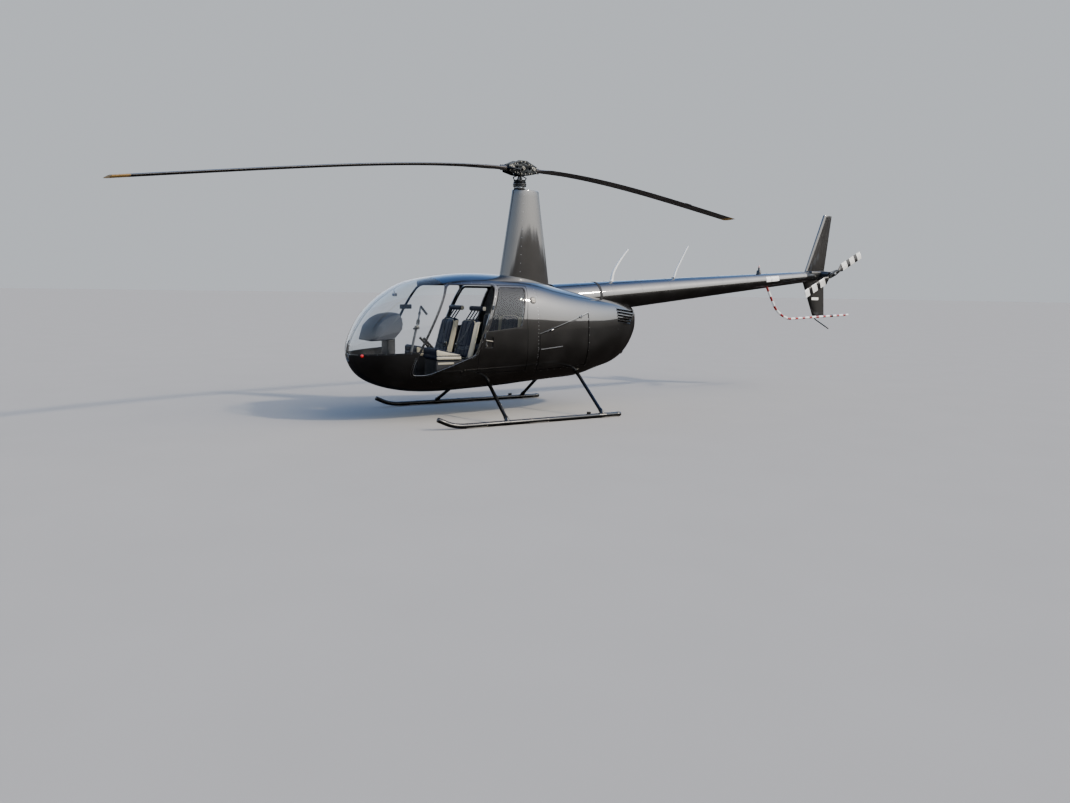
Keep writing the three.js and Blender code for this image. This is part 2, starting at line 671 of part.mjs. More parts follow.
function fairingForm(inset, fromZ, toZ) {
  return toSolid(loft([fromZ, toZ].map((z) => fairingRing(z, inset))));
}

function buildCowls() {
  const skin = cutBy(outerForm, cowlForm).intersect(between(cabinEndY + fitGap, everywhere));
  const coneHole = coneForm(-fitGap, cone.frontY - 100);
  const open = cutBy(skin, coneHole, mastHole, ...tubeHoles);
  const forward = open.intersect(between(cabinEndY, aftCowlY - fitGap));
  let rest = forward;
  for (const [name, side] of sides) {
    const cowlHinges = hingeForms(hinges.sideCowl, side);
    const panel = joined(forward.intersect(across(sideCowl, side)),
      ...cowlHinges.map((hinge) => hinge.panel));
    addPiece(airframe, `side_cowl_${name}`, toGeometry(panel), finish.blackPaint);
    rest = joined(cutBy(rest, across(grown(cowlOpening, doorGap), side)),
      ...cowlHinges.map((hinge) => hinge.frame));
  }
  addPiece(airframe, 'upper_cowl', toGeometry(rest), finish.blackPaint);
  let tail = open.intersect(between(aftCowlY, everywhere));
  for (const [, side] of sides) {
    for (let i = 0; i < louvre.count; i += 1) {
      const z = louvre.lowZ + i * louvre.pitch;
      const aftY = louvre.aftY + i * louvre.aftStep;
      const slot = [[louvre.frontY, z], [louvre.frontY, z + louvre.high],
        [aftY, z + louvre.high - louvre.drop], [aftY, z - louvre.drop]];
      tail = cutBy(tail, across(slot, side, louvre.innerX));
    }
  }
  addPiece(airframe, 'tail_cowl', toGeometry(tail), finish.blackPaint);
}

function buildMastAndCone() {
  const shaftHole = shaftRadius + shaftGap;
  const fairingShell = cutBy(fairingForm(0, fairing.baseZ, fairing.topZ),
    fairingForm(fairing.wall, fairing.baseZ - 50, fairing.topZ + 50), bodyForm(-fitGap),
    coneForm(-fitGap));
  addPiece(airframe, 'mast_fairing', toGeometry(fairingShell), finish.satinBlack);
  const tube = cutBy(joined(
    bar([0, 0, mast.footZ], [0, 0, mast.topZ], mast.radius, mast.radius, 24),
    bar([0, 0, swashplate.lowZ], [0, 0, swashplate.highZ], swashplate.radius, swashplate.radius, 24),
  ), bar([0, 0, mast.boreLowZ], [0, 0, mast.boreHighZ], shaftHole, shaftHole, 24));
  addPiece(airframe, 'mast_tube', toGeometry(tube), finish.aluminium);
  addPiece(airframe, 'main_gearbox', toGeometry(box(gearbox.low, gearbox.high)), finish.castIron);
  const { feet } = engine;
  const feetForms = feet.starts.flatMap((y) => [-1, 1].map((side) =>
    box([side * feet.x - feet.half, y, feet.lowZ],
      [side * feet.x + feet.half, y + feet.length, feet.highZ])));
  const engineForm = cutBy(joined(box(engine.low, engine.high), ...feetForms)
    .intersect(bodyForm(cowlWall + fitGap)), ...tubeHoles);
  addPiece(airframe, 'engine', toGeometry(engineForm), finish.castIron);
  const shell = cutBy(coneForm(0), coneForm(cone.wall, cone.frontY - 10, cone.endY + 10));
  addPiece(airframe, 'tail_cone', toGeometry(shell), finish.blackPaint);
}

// Airfoil outline of unit chord, nose at 0, closed tail at 1: [along, height] points
function airfoil(thickness, count = 9) {
  const half = (x) => 5 * thickness * (0.2969 * Math.sqrt(x) - 0.126 * x - 0.3516 * x ** 2
    + 0.2843 * x ** 3 - 0.1036 * x ** 4);
  const xs = Array.from({ length: count }, (unused, k) => 0.5 - 0.5 * Math.cos((Math.PI * k) / (count - 1)));
  const upper = xs.map((x) => [x, half(x)]);
  const lower = xs.slice(1, -1).reverse().map((x) => [x, -half(x)]);
  return [...upper, ...lower];
}

// Main rotor: built along +X from the hub and turned to where it stands
const rotor = { hingeZ: 3182, azimuth: 14.5, teeter: 2, droop: 455 };
const hub = { half: 250, plateGap: 46, plateThick: 20, low: 80, high: 108, web: 70, boreRadius: 20,
  boreZ: 8, bores: [-190, -115, 115, 190] };
// One plate seen from its flat side, from end to end along the bottom and back along the top
const hubOutline = [[-hub.half, -46], [-85, -hub.low], [85, -hub.low], [hub.half, -46],
  [hub.half, 42], [150, 78], [72, hub.high], [-72, hub.high], [-150, 78], [-hub.half, 42]];
const rootEnd = 250; // where a blade's round root turns into its airfoil
const links = { footX: 40, footY: 70, headX: 105, headY: 112, low: 20, high: 150, radius: 11 };
const shaftFoot = 900; // how far the turning shaft reaches down inside the mast
// Columns: distance from the mast, chord, thickness, how far the nose lies ahead of the pitch axis
const bladeRows = [
  [118, 91.2, 80, 46],
  [250, 91.2, 76, 46],
  [300, 120, 60, 46],
  [430, mainChord, 36, 66],
  [900, mainChord, 31, 66],
  [1700, mainChord, 31, 66],
  [2500, mainChord, 31, 66],
  [3300, mainChord, 31, 66],
  [4100, mainChord, 31, 66],
  [4700, mainChord, 31, 66],
  [rotorRadius, mainChord, 28, 66],
];

function bladeSag(r) {
  const length = rotorRadius - hub.half;
  const x = Math.max(0, r - hub.half);
  return rotor.droop * x ** 2 * (6 * length ** 2 - 4 * length * x + x ** 2) / (3 * length ** 4);
}

function mainBladeForm() {
  const round = 16;
  const rings = bladeRows.map(([r, chord, thick, ahead]) => {
    const foil = airfoil(1);
    const tubeLike = r <= rootEnd;
    return foil.map(([along, height], k) => {
      const angle = (2 * Math.PI * k) / round;
      if (tubeLike) {
        return new THREE.Vector3(r, chord / 2 * Math.cos(angle), thick / 2 * Math.sin(angle) - bladeSag(r));
      }
      return new THREE.Vector3(r, ahead - along * chord, height * thick - bladeSag(r));
    });
  });
  return toSolid(loft(rings));
}

const mainRotor = new THREE.Group();

function buildMainRotor() {
  mainRotor.position.set(0, 0, rotor.hingeZ);
  airframe.add(mainRotor);
  const spin = new THREE.Group();
  spin.rotation.z = THREE.MathUtils.degToRad(rotor.azimuth - 90);
  mainRotor.add(spin);
  const teeter = new THREE.Group();
  teeter.rotation.y = THREE.MathUtils.degToRad(rotor.teeter);
  spin.add(teeter);

  const turned = new THREE.Matrix4().makeRotationX(Math.PI / 2);
  const plateForms = [-hub.plateGap - hub.plateThick, hub.plateGap].map((y) => {
    const plate = new THREE.ExtrudeGeometry(roundedShape(hubOutline, 0), {
      depth: hub.plateThick, bevelEnabled: false });
    plate.applyMatrix4(turned);
    plate.translate(0, y + hub.plateThick, 0);
    return toSolid(plate);
  });
  let plates = joined(...plateForms,
    box([-hub.web, -hub.plateGap - 1, -hub.low], [hub.web, hub.plateGap + 1, hub.high]));
  const boreReach = hub.plateGap + hub.plateThick + 5;
  for (const x of hub.bores) {
    plates = cutBy(plates, bar([x, -boreReach, hub.boreZ], [x, boreReach, hub.boreZ], hub.boreRadius));
  }
  addPiece(teeter, 'rotor_hub', toGeometry(plates), finish.steel);
  for (const [name, turn] of [['a', 0], ['b', Math.PI]]) {
    const blade = addPiece(teeter, `main_blade_${name}`, toGeometry(mainBladeForm()), finish.satinBlack);
    blade.rotation.z = turn;
  }
  const shaftTop = -hub.low - 1.4; // just under the tilted hub
  const ringZ = swashplate.turningZ - rotor.hingeZ;
  const ringRadius = swashplate.turningRadius;
  let upper = joined(
    bar([0, 0, ringZ], [0, 0, ringZ + swashplate.turningThick], ringRadius, ringRadius, 24),
    bar([0, 0, -shaftFoot], [0, 0, shaftTop], shaftRadius, shaftRadius, 24));
  for (const side of [1, -1]) {
    upper = upper.add(bar([side * links.footX, side * links.footY, ringZ + links.low],
      [side * links.headX, side * links.headY, ringZ + links.high], links.radius));
  }
  addPiece(spin, 'rotor_shaft', toGeometry(upper), finish.steel);
}

// Tail
const tailShaft = 20; // radius
const tailHub = { x: 280, y: 5880, z: 1962, bladeAngle: 26, shaftIn: 130, shaftOut: 45,
  halfX: 26, halfY: 130, halfZ: 30 };
// Columns: distance from the hub, chord, thickness
const tailBladeRows = [[tailHub.halfY + fitGap, 50, 34], [210, tailChord, 20],
  [tailRotorRadius, tailChord, 15]];
const bladeNose = 0.35; // share of the chord ahead of the blade's own axis
const finX = -128;
const finThick = 48;
// Columns: height, y of the nose, y of the trailing edge
const upperFin = [[1956, 5625, 6122], [2967, 6033, 6244]];
const lowerFin = [[1258, 5903, 6192], [1912, 5570, 6131]];
const stabilizer = { z: 1934, thick: 44 };
// Columns: x, y of the nose, y of the trailing edge
const stabilizerRows = [[-94, 5620, 6050], [-1000, 5670, 6020]];
const tailGearbox = {
  neckEnd: [0, 5700, 1930], neckRadius: 62,
  housing: { outerX: 60, frontY: 5600, aftY: 5960, lowZ: 1870, highZ: 2010 },
  finPads: { frontY: 5640, aftY: 5860, spans: [[1964, 2010], [1870, 1904]] },
  output: { tipX: 200, rootRadius: 62, tipRadius: 42, boreFrom: 140 },
};

function finForm(rows, thickness) {
  const rings = rows.map(([z, nose, tail]) => airfoil(1, 8).map(([along, height]) =>
    new THREE.Vector3(finX + height * thickness, nose + along * (tail - nose), z)));
  return toSolid(loft(rings));
}

function stabilizerForm() {
  const rings = stabilizerRows.map(([x, nose, tail]) => airfoil(1, 8).map(([along, height]) =>
    new THREE.Vector3(x, nose + along * (tail - nose), stabilizer.z + height * stabilizer.thick)));
  return toSolid(loft(rings));
}

function tailGearboxForm() {
  const { neckEnd, neckRadius, housing, finPads, output } = tailGearbox;
  const padX = finX + finThick / 2 + fitGap;
  const neck = cutBy(bar([0, cone.endY, cone.endZ], neckEnd, cone.endR - 2, neckRadius, 24),
    between(0, cone.endY + fitGap));
  const body = box([stabilizerRows[0][0] + fitGap, housing.frontY, housing.lowZ],
    [housing.outerX, housing.aftY, housing.highZ]);
  const pads = finPads.spans.map(([lowZ, highZ]) =>
    box([padX, finPads.frontY, lowZ], [0, finPads.aftY, highZ]));
  const outputForm = bar([0, tailHub.y, tailHub.z], [output.tipX, tailHub.y, tailHub.z],
    output.rootRadius, output.tipRadius, 20);
  const shaftRun = tailShaft + shaftGap;
  const bore = bar([output.boreFrom, tailHub.y, tailHub.z], [output.tipX + 10, tailHub.y, tailHub.z],
    shaftRun, shaftRun, 24);
  return cutBy(joined(neck, body, ...pads, outputForm), bore);
}

function tailBladeForm(side) {
  const rings = tailBladeRows.map(([r, chord, thick]) => airfoil(1, 8).map(([along, height]) =>
    new THREE.Vector3(height * thick, side * r, side * chord * (along - bladeNose))));
  return toSolid(loft(rings));
}

function buildTail() {
  addPiece(airframe, 'upper_fin', toGeometry(finForm(upperFin, finThick)), finish.blackPaint);
  addPiece(airframe, 'lower_fin', toGeometry(finForm(lowerFin, finThick)), finish.blackPaint);
  addPiece(airframe, 'horizontal_stabilizer', toGeometry(stabilizerForm()), finish.blackPaint);
  addPiece(airframe, 'tail_gearbox', toGeometry(tailGearboxForm()), finish.satinBlack);

  const tailRotor = new THREE.Group();
  tailRotor.position.set(tailHub.x, tailHub.y, tailHub.z);
  tailRotor.rotation.x = THREE.MathUtils.degToRad(tailHub.bladeAngle);
  airframe.add(tailRotor);
  const hubForm = joined(
    bar([-tailHub.shaftIn, 0, 0], [tailHub.shaftOut, 0, 0], tailShaft, tailShaft, 24),
    box([-tailHub.halfX, -tailHub.halfY, -tailHub.halfZ], [tailHub.halfX, tailHub.halfY, tailHub.halfZ]),
  );
  addPiece(tailRotor, 'tail_rotor_hub', toGeometry(hubForm), finish.steel);
  for (const [name, side] of [['a', 1], ['b', -1]]) {
    addPiece(tailRotor, `tail_blade_${name}`, toGeometry(tailBladeForm(side)), finish.white);
  }
}

// Tail guard, skid, beacon and aerials
const guard = {
  path: [[60, 4571, 1730], [125, 4740, 1350], [165, 4950, 1218], [165, 6450, 1284]],
  bend: 110, radius: 19, clip: { frontY: 6020, aftY: 6050, lowZ: 1262, highZ: 1278, outerX: 150 },
};
const tailSkid = { topZ: 1257.5, path: [[5930, 1270], [5965, 1205], [6329, 1034]], bend: 40,
  radius: 11 };
const beacon = { y: 4434, baseTop: 1991, baseFoot: 41, baseHead: 34, lensFrom: 1985, lensTop: 2080,
  lensFoot: 15, lensHead: 10 };
// Columns: name, path of [y, z] points, radius
const aerials = [
  ['antenna_front', [[1515, 1740], [1547, 1896], [1665, 2068], [1802, 2222]], 17],
  ['antenna_rear', [[2657, 1800], [2710, 1954], [2800, 2105], [2927, 2317]], 11],
];

function guardForm() {
  const { clip } = guard;
  const whole = joined(bentBar(guard.path, guard.bend, guard.radius, 10, 4),
    box([finX, clip.frontY, clip.lowZ], [clip.outerX, clip.aftY, clip.highZ]));
  const parts = cutBy(whole, coneForm(-fitGap), finForm(lowerFin, finThick + 2)).decompose();
  return parts.sort((a, b) => b.volume() - a.volume())[0];
}

function buildTailTrim() {
  addPiece(airframe, 'tail_guard', toGeometry(guardForm()), finish.white);
  const skidPath = tailSkid.path.map(([y, z]) => [finX, y, z]);
  const below = box([-everywhere, 0, 0], [everywhere, everywhere, tailSkid.topZ]);
  addPiece(airframe, 'tail_skid',
    toGeometry(bentBar(skidPath, tailSkid.bend, tailSkid.radius, 10, 4).intersect(below)),
    finish.satinBlack);
  const beaconForm = cutBy(joined(
    bar([0, beacon.y, conePoint(beacon.y).z], [0, beacon.y, beacon.baseTop], beacon.baseFoot,
      beacon.baseHead, 20),
    bar([0, beacon.y, beacon.lensFrom], [0, beacon.y, beacon.lensTop], beacon.lensFoot,
      beacon.lensHead, 20)), coneForm(-fitGap));
  addPiece(airframe, 'beacon', toGeometry(beaconForm), finish.redLens);
  for (const [name, path, radius] of aerials) {
    const form = cutBy(bentBar(path.map(([y, z]) => [0, y, z]), 60, radius, 8, 3), coneForm(-fitGap));
    addPiece(airframe, name, toGeometry(form), finish.white);
  }
}

buildCabin();
buildSeats();
buildControls();
buildCowls();
buildMastAndCone();
buildMainRotor();
buildTail();
buildTailTrim();
buildLandingGear();

const helicopter = new THREE.Group();
helicopter.add(airframe);
export default helicopter;
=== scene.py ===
# A light four-seat helicopter parked on its skids, both front doors off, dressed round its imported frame.
# Metres: +X is the helicopter's left, -Y its nose, +Z up. Tables are in millimetres, with y counted
# aft from the main rotor mast, and mm() brings them into the frame.
import json
import math

import bmesh
import bpy
import numpy as np
from mathutils import Matrix, Vector
from mathutils.bvhtree import BVHTree


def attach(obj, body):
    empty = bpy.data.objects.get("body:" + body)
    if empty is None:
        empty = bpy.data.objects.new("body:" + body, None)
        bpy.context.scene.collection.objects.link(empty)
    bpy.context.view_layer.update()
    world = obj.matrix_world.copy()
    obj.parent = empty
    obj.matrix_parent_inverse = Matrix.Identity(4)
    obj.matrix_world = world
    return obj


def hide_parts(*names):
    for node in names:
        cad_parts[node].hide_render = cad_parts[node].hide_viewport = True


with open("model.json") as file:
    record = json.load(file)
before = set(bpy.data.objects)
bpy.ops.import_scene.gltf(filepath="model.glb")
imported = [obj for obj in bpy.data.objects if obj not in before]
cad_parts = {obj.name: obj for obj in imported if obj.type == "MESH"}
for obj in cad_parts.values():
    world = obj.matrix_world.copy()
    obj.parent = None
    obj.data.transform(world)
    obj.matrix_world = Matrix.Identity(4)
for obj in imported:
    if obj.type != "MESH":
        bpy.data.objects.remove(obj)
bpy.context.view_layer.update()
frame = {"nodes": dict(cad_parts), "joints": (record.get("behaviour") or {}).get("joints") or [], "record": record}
nodes = frame["nodes"]
joints = {joint["name"]: joint for joint in frame["joints"]}
mastY = joints["main_rotor_spin"]["pos_m"][1]
sides = {"left": 1, "right": -1}
print("frame loaded")


def mm(x, y, z):
    return Vector((x / 1000, y / 1000 + mastY, z / 1000))


def metres(x, y, z):
    # Millimetres of a piece that is built at the origin and then turned to its place
    return Vector((x, y, z)) / 1000


def linked(name, data):
    thing = bpy.data.objects.new(name, data)
    bpy.context.scene.collection.objects.link(thing)
    return thing


# The camera stands where the photograph was taken
camera = {
    "place": (9.393, -6.140, 1.595),
    "heading": (-0.8598, 0.5107),  # level direction that the lens faces
    "pitchDown": 7.78,  # degrees
    "roll": 0.81,
    "focal": 26.92,
    "sensor": 36,
    "sees": 1500,  # metres
}


def addCamera():
    data = bpy.data.cameras.new("photoCamera")
    data.lens = camera["focal"]
    data.sensor_width = camera["sensor"]
    data.clip_end = camera["sees"]
    eye = linked("photoCamera", data)
    level = Vector((*camera["heading"], 0)).normalized()
    pitch = math.radians(camera["pitchDown"])
    look = level * math.cos(pitch) - Vector((0, 0, 1)) * math.sin(pitch)
    turn = look.to_track_quat("-Z", "Y").to_matrix().to_4x4()
    roll = Matrix.Rotation(math.radians(camera["roll"]), 4, "Z")
    eye.matrix_world = Matrix.Translation(camera["place"]) @ turn @ roll
    bpy.context.scene.camera = eye


addCamera()
print("camera placed")


# Materials: each is named for what the real surface is, save the painted shade and painted highlight on the
# louvres
def linear(hexCode):
    channels = [int(hexCode[i:i + 2], 16) / 255 for i in (1, 3, 5)]
    return [c / 12.92 if c <= 0.04045 else ((c + 0.055) / 1.055) ** 2.4 for c in channels] + [1]


def addNode(tree, kind, settings=None, links=None):
    node = tree.nodes.new(kind)
    for key, value in (settings or {}).items():
        if isinstance(key, int) or key in node.inputs:
            node.inputs[key].default_value = value
        else:
            setattr(node, key, value)
    for key, source in (links or {}).items():
        tree.links.new(source, node.inputs[key])
    return node


def newMaterial(name, hexCode, metallic, roughness, settings=None):
    material = bpy.data.materials.new(name)
    material.use_nodes = True
    tree = material.node_tree
    shader = tree.nodes["Principled BSDF"]
    shader.inputs["Base Color"].default_value = linear(hexCode)
    shader.inputs["Metallic"].default_value = metallic
    shader.inputs["Roughness"].default_value = roughness
    for key, value in (settings or {}).items():
        shader.inputs[key].default_value = value
    return material, tree, shader


def objectPoint(tree, scale=(1, 1, 1)):
    place = addNode(tree, "ShaderNodeTexCoord")
    return addNode(tree, "ShaderNodeMapping", {"Scale": scale}, {"Vector": place.outputs["Object"]})


def mixColours(tree, factor, first, second):
    mix = addNode(tree, "ShaderNodeMix", {"data_type": "RGBA"}, {0: factor})
    mix.inputs[6].default_value = linear(first)
    mix.inputs[7].default_value = linear(second)
    return mix


def tint(tree, shader, factor, first, second):
    mix = mixColours(tree, factor, first, second)
    tree.links.new(mix.outputs[2], shader.inputs["Base Color"])


def noise(tree, point, size, detail=3, rough=0.5):
    # size is one blotch in metres
    return addNode(tree, "ShaderNodeTexNoise",
                   {"Scale": 1 / size, "Detail": detail, "Roughness": rough}, {"Vector": point.outputs[0]})


def cells(tree, point, perMetre):
    node = addNode(tree, "ShaderNodeTexVoronoi", {"Scale": perMetre}, {"Vector": point.outputs[0]})
    return node.outputs["Distance"]


def ramp(tree, source, stops):
    # stops are (position, colour) pairs
    node = addNode(tree, "ShaderNodeValToRGB", None, {"Fac": source})
    elements = node.color_ramp.elements
    while len(elements) < len(stops):
        elements.new(0.5)
    for element, (position, colour) in zip(elements, stops):
        element.position = position
        element.color = colour
    return node.outputs[0]


def steps(tree, source, stops):
    # stops are (position, value) pairs of a ramp in grey
    return ramp(tree, source, [(position, (value, value, value, 1)) for position, value in stops])


def ranged(tree, value, low, high, fromLow=0.0, fromHigh=1.0):
    node = addNode(tree, "ShaderNodeMapRange", {
        "From Min": fromLow, "From Max": fromHigh, "To Min": low, "To Max": high}, {"Value": value})
    return node.outputs[0]


def mathNode(tree, operation, first, second, clamp=False):
    # first and second are each a socket or a number
    node = addNode(tree, "ShaderNodeMath", {"operation": operation, "use_clamp": clamp})
    for i, value in enumerate((first, second)):
        if isinstance(value, (int, float)):
            node.inputs[i].default_value = value
        else:
            tree.links.new(value, node.inputs[i])
    return node.outputs[0]


def bump(tree, shader, height, depth, strength=1.0, before=None):
    # depth in metres
    node = addNode(tree, "ShaderNodeBump", {"Distance": depth, "Strength": strength}, {"Height": height})
    if before:
        tree.links.new(before.outputs[0], node.inputs["Normal"])
    tree.links.new(node.outputs[0], shader.inputs["Normal"])
    return node


def glossEnamel(name, hexCode, dustHex, roughness, coat=1.0, wave=0.0012):
    # Sprayed two-pack enamel on sheet metal: a mirror-like top over a haze of fine polishing marks that
    # spreads the sun, faint waviness between the ribs, and a film of dust in patches
    material, tree, shader = newMaterial(name, hexCode, 0.0, roughness, {
        "IOR": 1.5, "Specular IOR Level": 0.33, "Coat Weight": coat, "Coat Roughness": 0.03, "Coat IOR": 1.75})
    point = objectPoint(tree)
    dust = steps(tree, noise(tree, point, 0.35, 5, 0.6).outputs[0], [(0.42, 0.0), (0.75, 1.0)])
    tint(tree, shader, dust, hexCode, dustHex)
    tree.links.new(ranged(tree, dust, roughness, roughness + 0.1), shader.inputs["Roughness"])
    panels = noise(tree, point, 0.28, 1, 0.4)
    bump(tree, shader, panels.outputs[0], wave, 0.6)
    return material


def satinPaint(name, hexCode, roughness, wearHex, patch=0.03, wearFrom=0.62):
    # Air-dried satin paint on steel tube: scuffed lighter in small patches
    material, tree, shader = newMaterial(name, hexCode, 0.0, roughness, {"IOR": 1.5})
    point = objectPoint(tree)
    wear = steps(tree, noise(tree, point, patch, 6, 0.7).outputs[0], [(wearFrom, 0.0), (wearFrom + 0.12, 1.0)])
    tint(tree, shader, wear, hexCode, wearHex)
    grain = noise(tree, point, 0.002, 2)
    bump(tree, shader, grain.outputs[0], 0.0002, 0.5)
    return material


def brushedMetal(name, hexCode, roughness, along=(1, 1, 14)):
    # Machined or brushed metal: fine lines across the turning direction
    material, tree, shader = newMaterial(name, hexCode, 1.0, roughness)
    point = objectPoint(tree, along)
    lines = noise(tree, point, 0.012, 5, 0.65)
    varied = ranged(tree, lines.outputs[0], roughness - 0.08, roughness + 0.14)
    tree.links.new(varied, shader.inputs["Roughness"])
    bump(tree, shader, lines.outputs[0], 0.0002, 0.4)
    return material


def castAluminium():
    # Sand-cast aluminium: pebbled grey skin, 2.2 mm from pebble to pebble
    material, tree, shader = newMaterial("castAluminium", "#8b8e90", 1.0, 0.5)
    bump(tree, shader, cells(tree, objectPoint(tree), 450), 0.0004, 0.6)
    return material


def leather(name, hexCode, darkHex):
    # Dyed upholstery leather: soft folds under a pebbled grain 2.4 mm across, slightly worn
    material, tree, shader = newMaterial(name, hexCode, 0.0, 0.55, {"IOR": 1.4, "Specular IOR Level": 0.3})
    point = objectPoint(tree)
    tint(tree, shader, noise(tree, point, 0.12, 4).outputs[0], darkHex, hexCode)
    folds = noise(tree, point, 0.05, 5, 0.6)
    first = bump(tree, shader, folds.outputs[0], 0.004, 0.5)
    bump(tree, shader, cells(tree, point, 420), 0.0006, 0.5, first)
    return material


def carpet(name, hexCode, lightHex):
    # Loop pile or close weave, 3 mm from loop to loop
    material, tree, shader = newMaterial(name, hexCode, 0.0, 0.95, {"Sheen Weight": 0.3})
    loops = cells(tree, objectPoint(tree), 330)
    tint(tree, shader, loops, hexCode, lightHex)
    bump(tree, shader, loops, 0.003, 0.8)
    return material


def mouldedPlastic(name, hexCode, roughness=0.5, grainSize=0.0018):
    # ABS moulding with a leather-like grain
    material, tree, shader = newMaterial(name, hexCode, 0.0, roughness, {"IOR": 1.53})
    bump(tree, shader, cells(tree, objectPoint(tree), 1 / grainSize), 0.0004, 0.5)
    return material


def rubber(name="moulded rubber"):
    # Filled black rubber: dull, with a soft unevenness from its mould
    material, tree, shader = newMaterial(name, "#151515", 0.0, 0.75)
    bump(tree, shader, noise(tree, objectPoint(tree), 0.004, 3).outputs[0], 0.0003, 0.6)
    return material


def clearAcrylic(name, hexCode, roughness=0.015):
    # Blown acrylic sheet: clear with a faint blue cast, and lamps reach through it
    material, tree, shader = newMaterial(name, hexCode, 0.0, roughness, {
        "IOR": 1.36, "Transmission Weight": 1.0})
    rays = addNode(tree, "ShaderNodeLightPath")
    clear = addNode(tree, "ShaderNodeBsdfTransparent", {"Color": (0.93, 0.95, 0.96, 1)})
    mix = addNode(tree, "ShaderNodeMixShader", None, {0: rays.outputs["Is Shadow Ray"]})
    tree.links.new(shader.outputs[0], mix.inputs[1])
    tree.links.new(clear.outputs[0], mix.inputs[2])
    tree.links.new(mix.outputs[0], tree.nodes["Material Output"].inputs["Surface"])
    return material


def colouredLens(name, hexCode, glow):
    # Moulded lens plastic, dark until its lamp is lit
    material, tree, shader = newMaterial(name, hexCode, 0.0, 0.08, {
        "IOR": 1.49, "Transmission Weight": 0.35, "Coat Weight": 1.0})
    shader.inputs["Emission Color"].default_value = linear(hexCode)
    shader.inputs["Emission Strength"].default_value = glow
    ribs = addNode(tree, "ShaderNodeTexWave", {"Scale": 120, "bands_direction": "Z"},
                   {"Vector": objectPoint(tree).outputs[0]})
    bump(tree, shader, ribs.outputs["Fac"], 0.0005, 0.4)
    return material


looks = {
    "enamel": glossEnamel("gloss black enamel", "#080706", "#151413", 0.36),
    "finEnamel": glossEnamel("gloss black enamel, thin sheet", "#080706", "#141312", 0.34, 1.0, 0.002),
    "fairingEnamel": glossEnamel("gloss black enamel on moulded shell", "#0a0908", "#1c1b1a", 0.40,
                                 1.0, 0.004),
    "satin": satinPaint("satin black paint", "#121314", 0.34, "#2b2c2d"),
    "bladePaint": satinPaint("matt blade paint", "#433e3a", 0.5, "#4c4743", 0.6, 0.5),
    "white": glossEnamel("gloss white enamel", "#e6e6e2", "#cfcdc4", 0.16, 0.5, 0.0006),
    "whiteSatin": satinPaint("white satin paint", "#eeeeea", 0.4, "#dad9d3"),
    "paleLens": colouredLens("weathered pink lens plastic", "#c9a49c", 0.1),
    "acrylic": clearAcrylic("clear acrylic sheet", "#f4f8fa"),
    "lens": clearAcrylic("clear lens glass", "#ffffff"),
    "redLens": colouredLens("red lens plastic", "#c40d0f", 0.45),
    "steel": brushedMetal("machined steel", "#76797c", 0.32),
    "aluminium": brushedMetal("machined aluminium", "#a9acae", 0.34),
    "darkSteel": brushedMetal("oiled forged steel", "#26282a", 0.42),
    "cast": castAluminium(),
    "navy": leather("navy upholstery leather", "#151c2f", "#0f1524"),
    "cream": leather("cream upholstery leather", "#aca796", "#98927f"),
    "carpet": carpet("charcoal loop carpet", "#17181b", "#2c2e33"),
    "plastic": mouldedPlastic("charcoal moulded plastic", "#1b1d21"),
    "hoodPlastic": mouldedPlastic("slate blue glare shield vinyl", "#131a29", 0.62, 0.002),
    "liner": mouldedPlastic("charcoal cabin liner", "#15171b", 0.7, 0.003),
    "rubber": rubber(),
    "tubeEnamel": satinPaint("black enamel on steel tube", "#0c0c0c", 0.26, "#181818"),
    "bandBlack": satinPaint("satin black band", "#121214", 0.3, "#1f1f21"),
    "tipPaint": satinPaint("worn yellow tip paint", "#8a6a32", 0.45, "#5d4a2c"),
    "guardRed": glossEnamel("gloss red enamel", "#8e1512", "#741a16", 0.18, 0.5, 0.0006),
    "hubSteel": brushedMetal("dark plated steel", "#2c2e2f", 0.42),
    "boltSteel": brushedMetal("cadmium plated bolt steel", "#77756e", 0.34),
    "screwSteel": brushedMetal("stainless screw steel", "#8e9093", 0.3),
    "wornSteel": brushedMetal("worn bare steel", "#6e6c69", 0.45),
    "noseSteel": brushedMetal("stainless nose strip", "#5c5a57", 0.4, (14, 1, 1)),
    "webbing": carpet("black polyester webbing", "#101114", "#1c1e22"),
    "dialWhite": mouldedPlastic("dial and glass white", "#c8c9c4", 0.3, 0.01),
    "controlGrey": satinPaint("grey control tube paint", "#5d6167", 0.35, "#777a7d"),
    "reflector": brushedMetal("mirror reflector", "#d8dadc", 0.12),
    # Painted shade: a matt black sheet between the louvre slots stands in for the shade among the louvres
    "louvreShadeBlack": satinPaint("painted shade matt black", "#0b0b0b", 0.7, "#111111"),
    # Painted highlight: light grey metal stands in for the sunlit edges of the louvres
    "louvreEdgeHighlight": brushedMetal("painted highlight on louvre edge", "#8c8f92", 0.35),
    "gearboxPaint": satinPaint("dark blue-grey gearbox paint", "#23272d", 0.35, "#3a3e43"),
}
print("materials made")


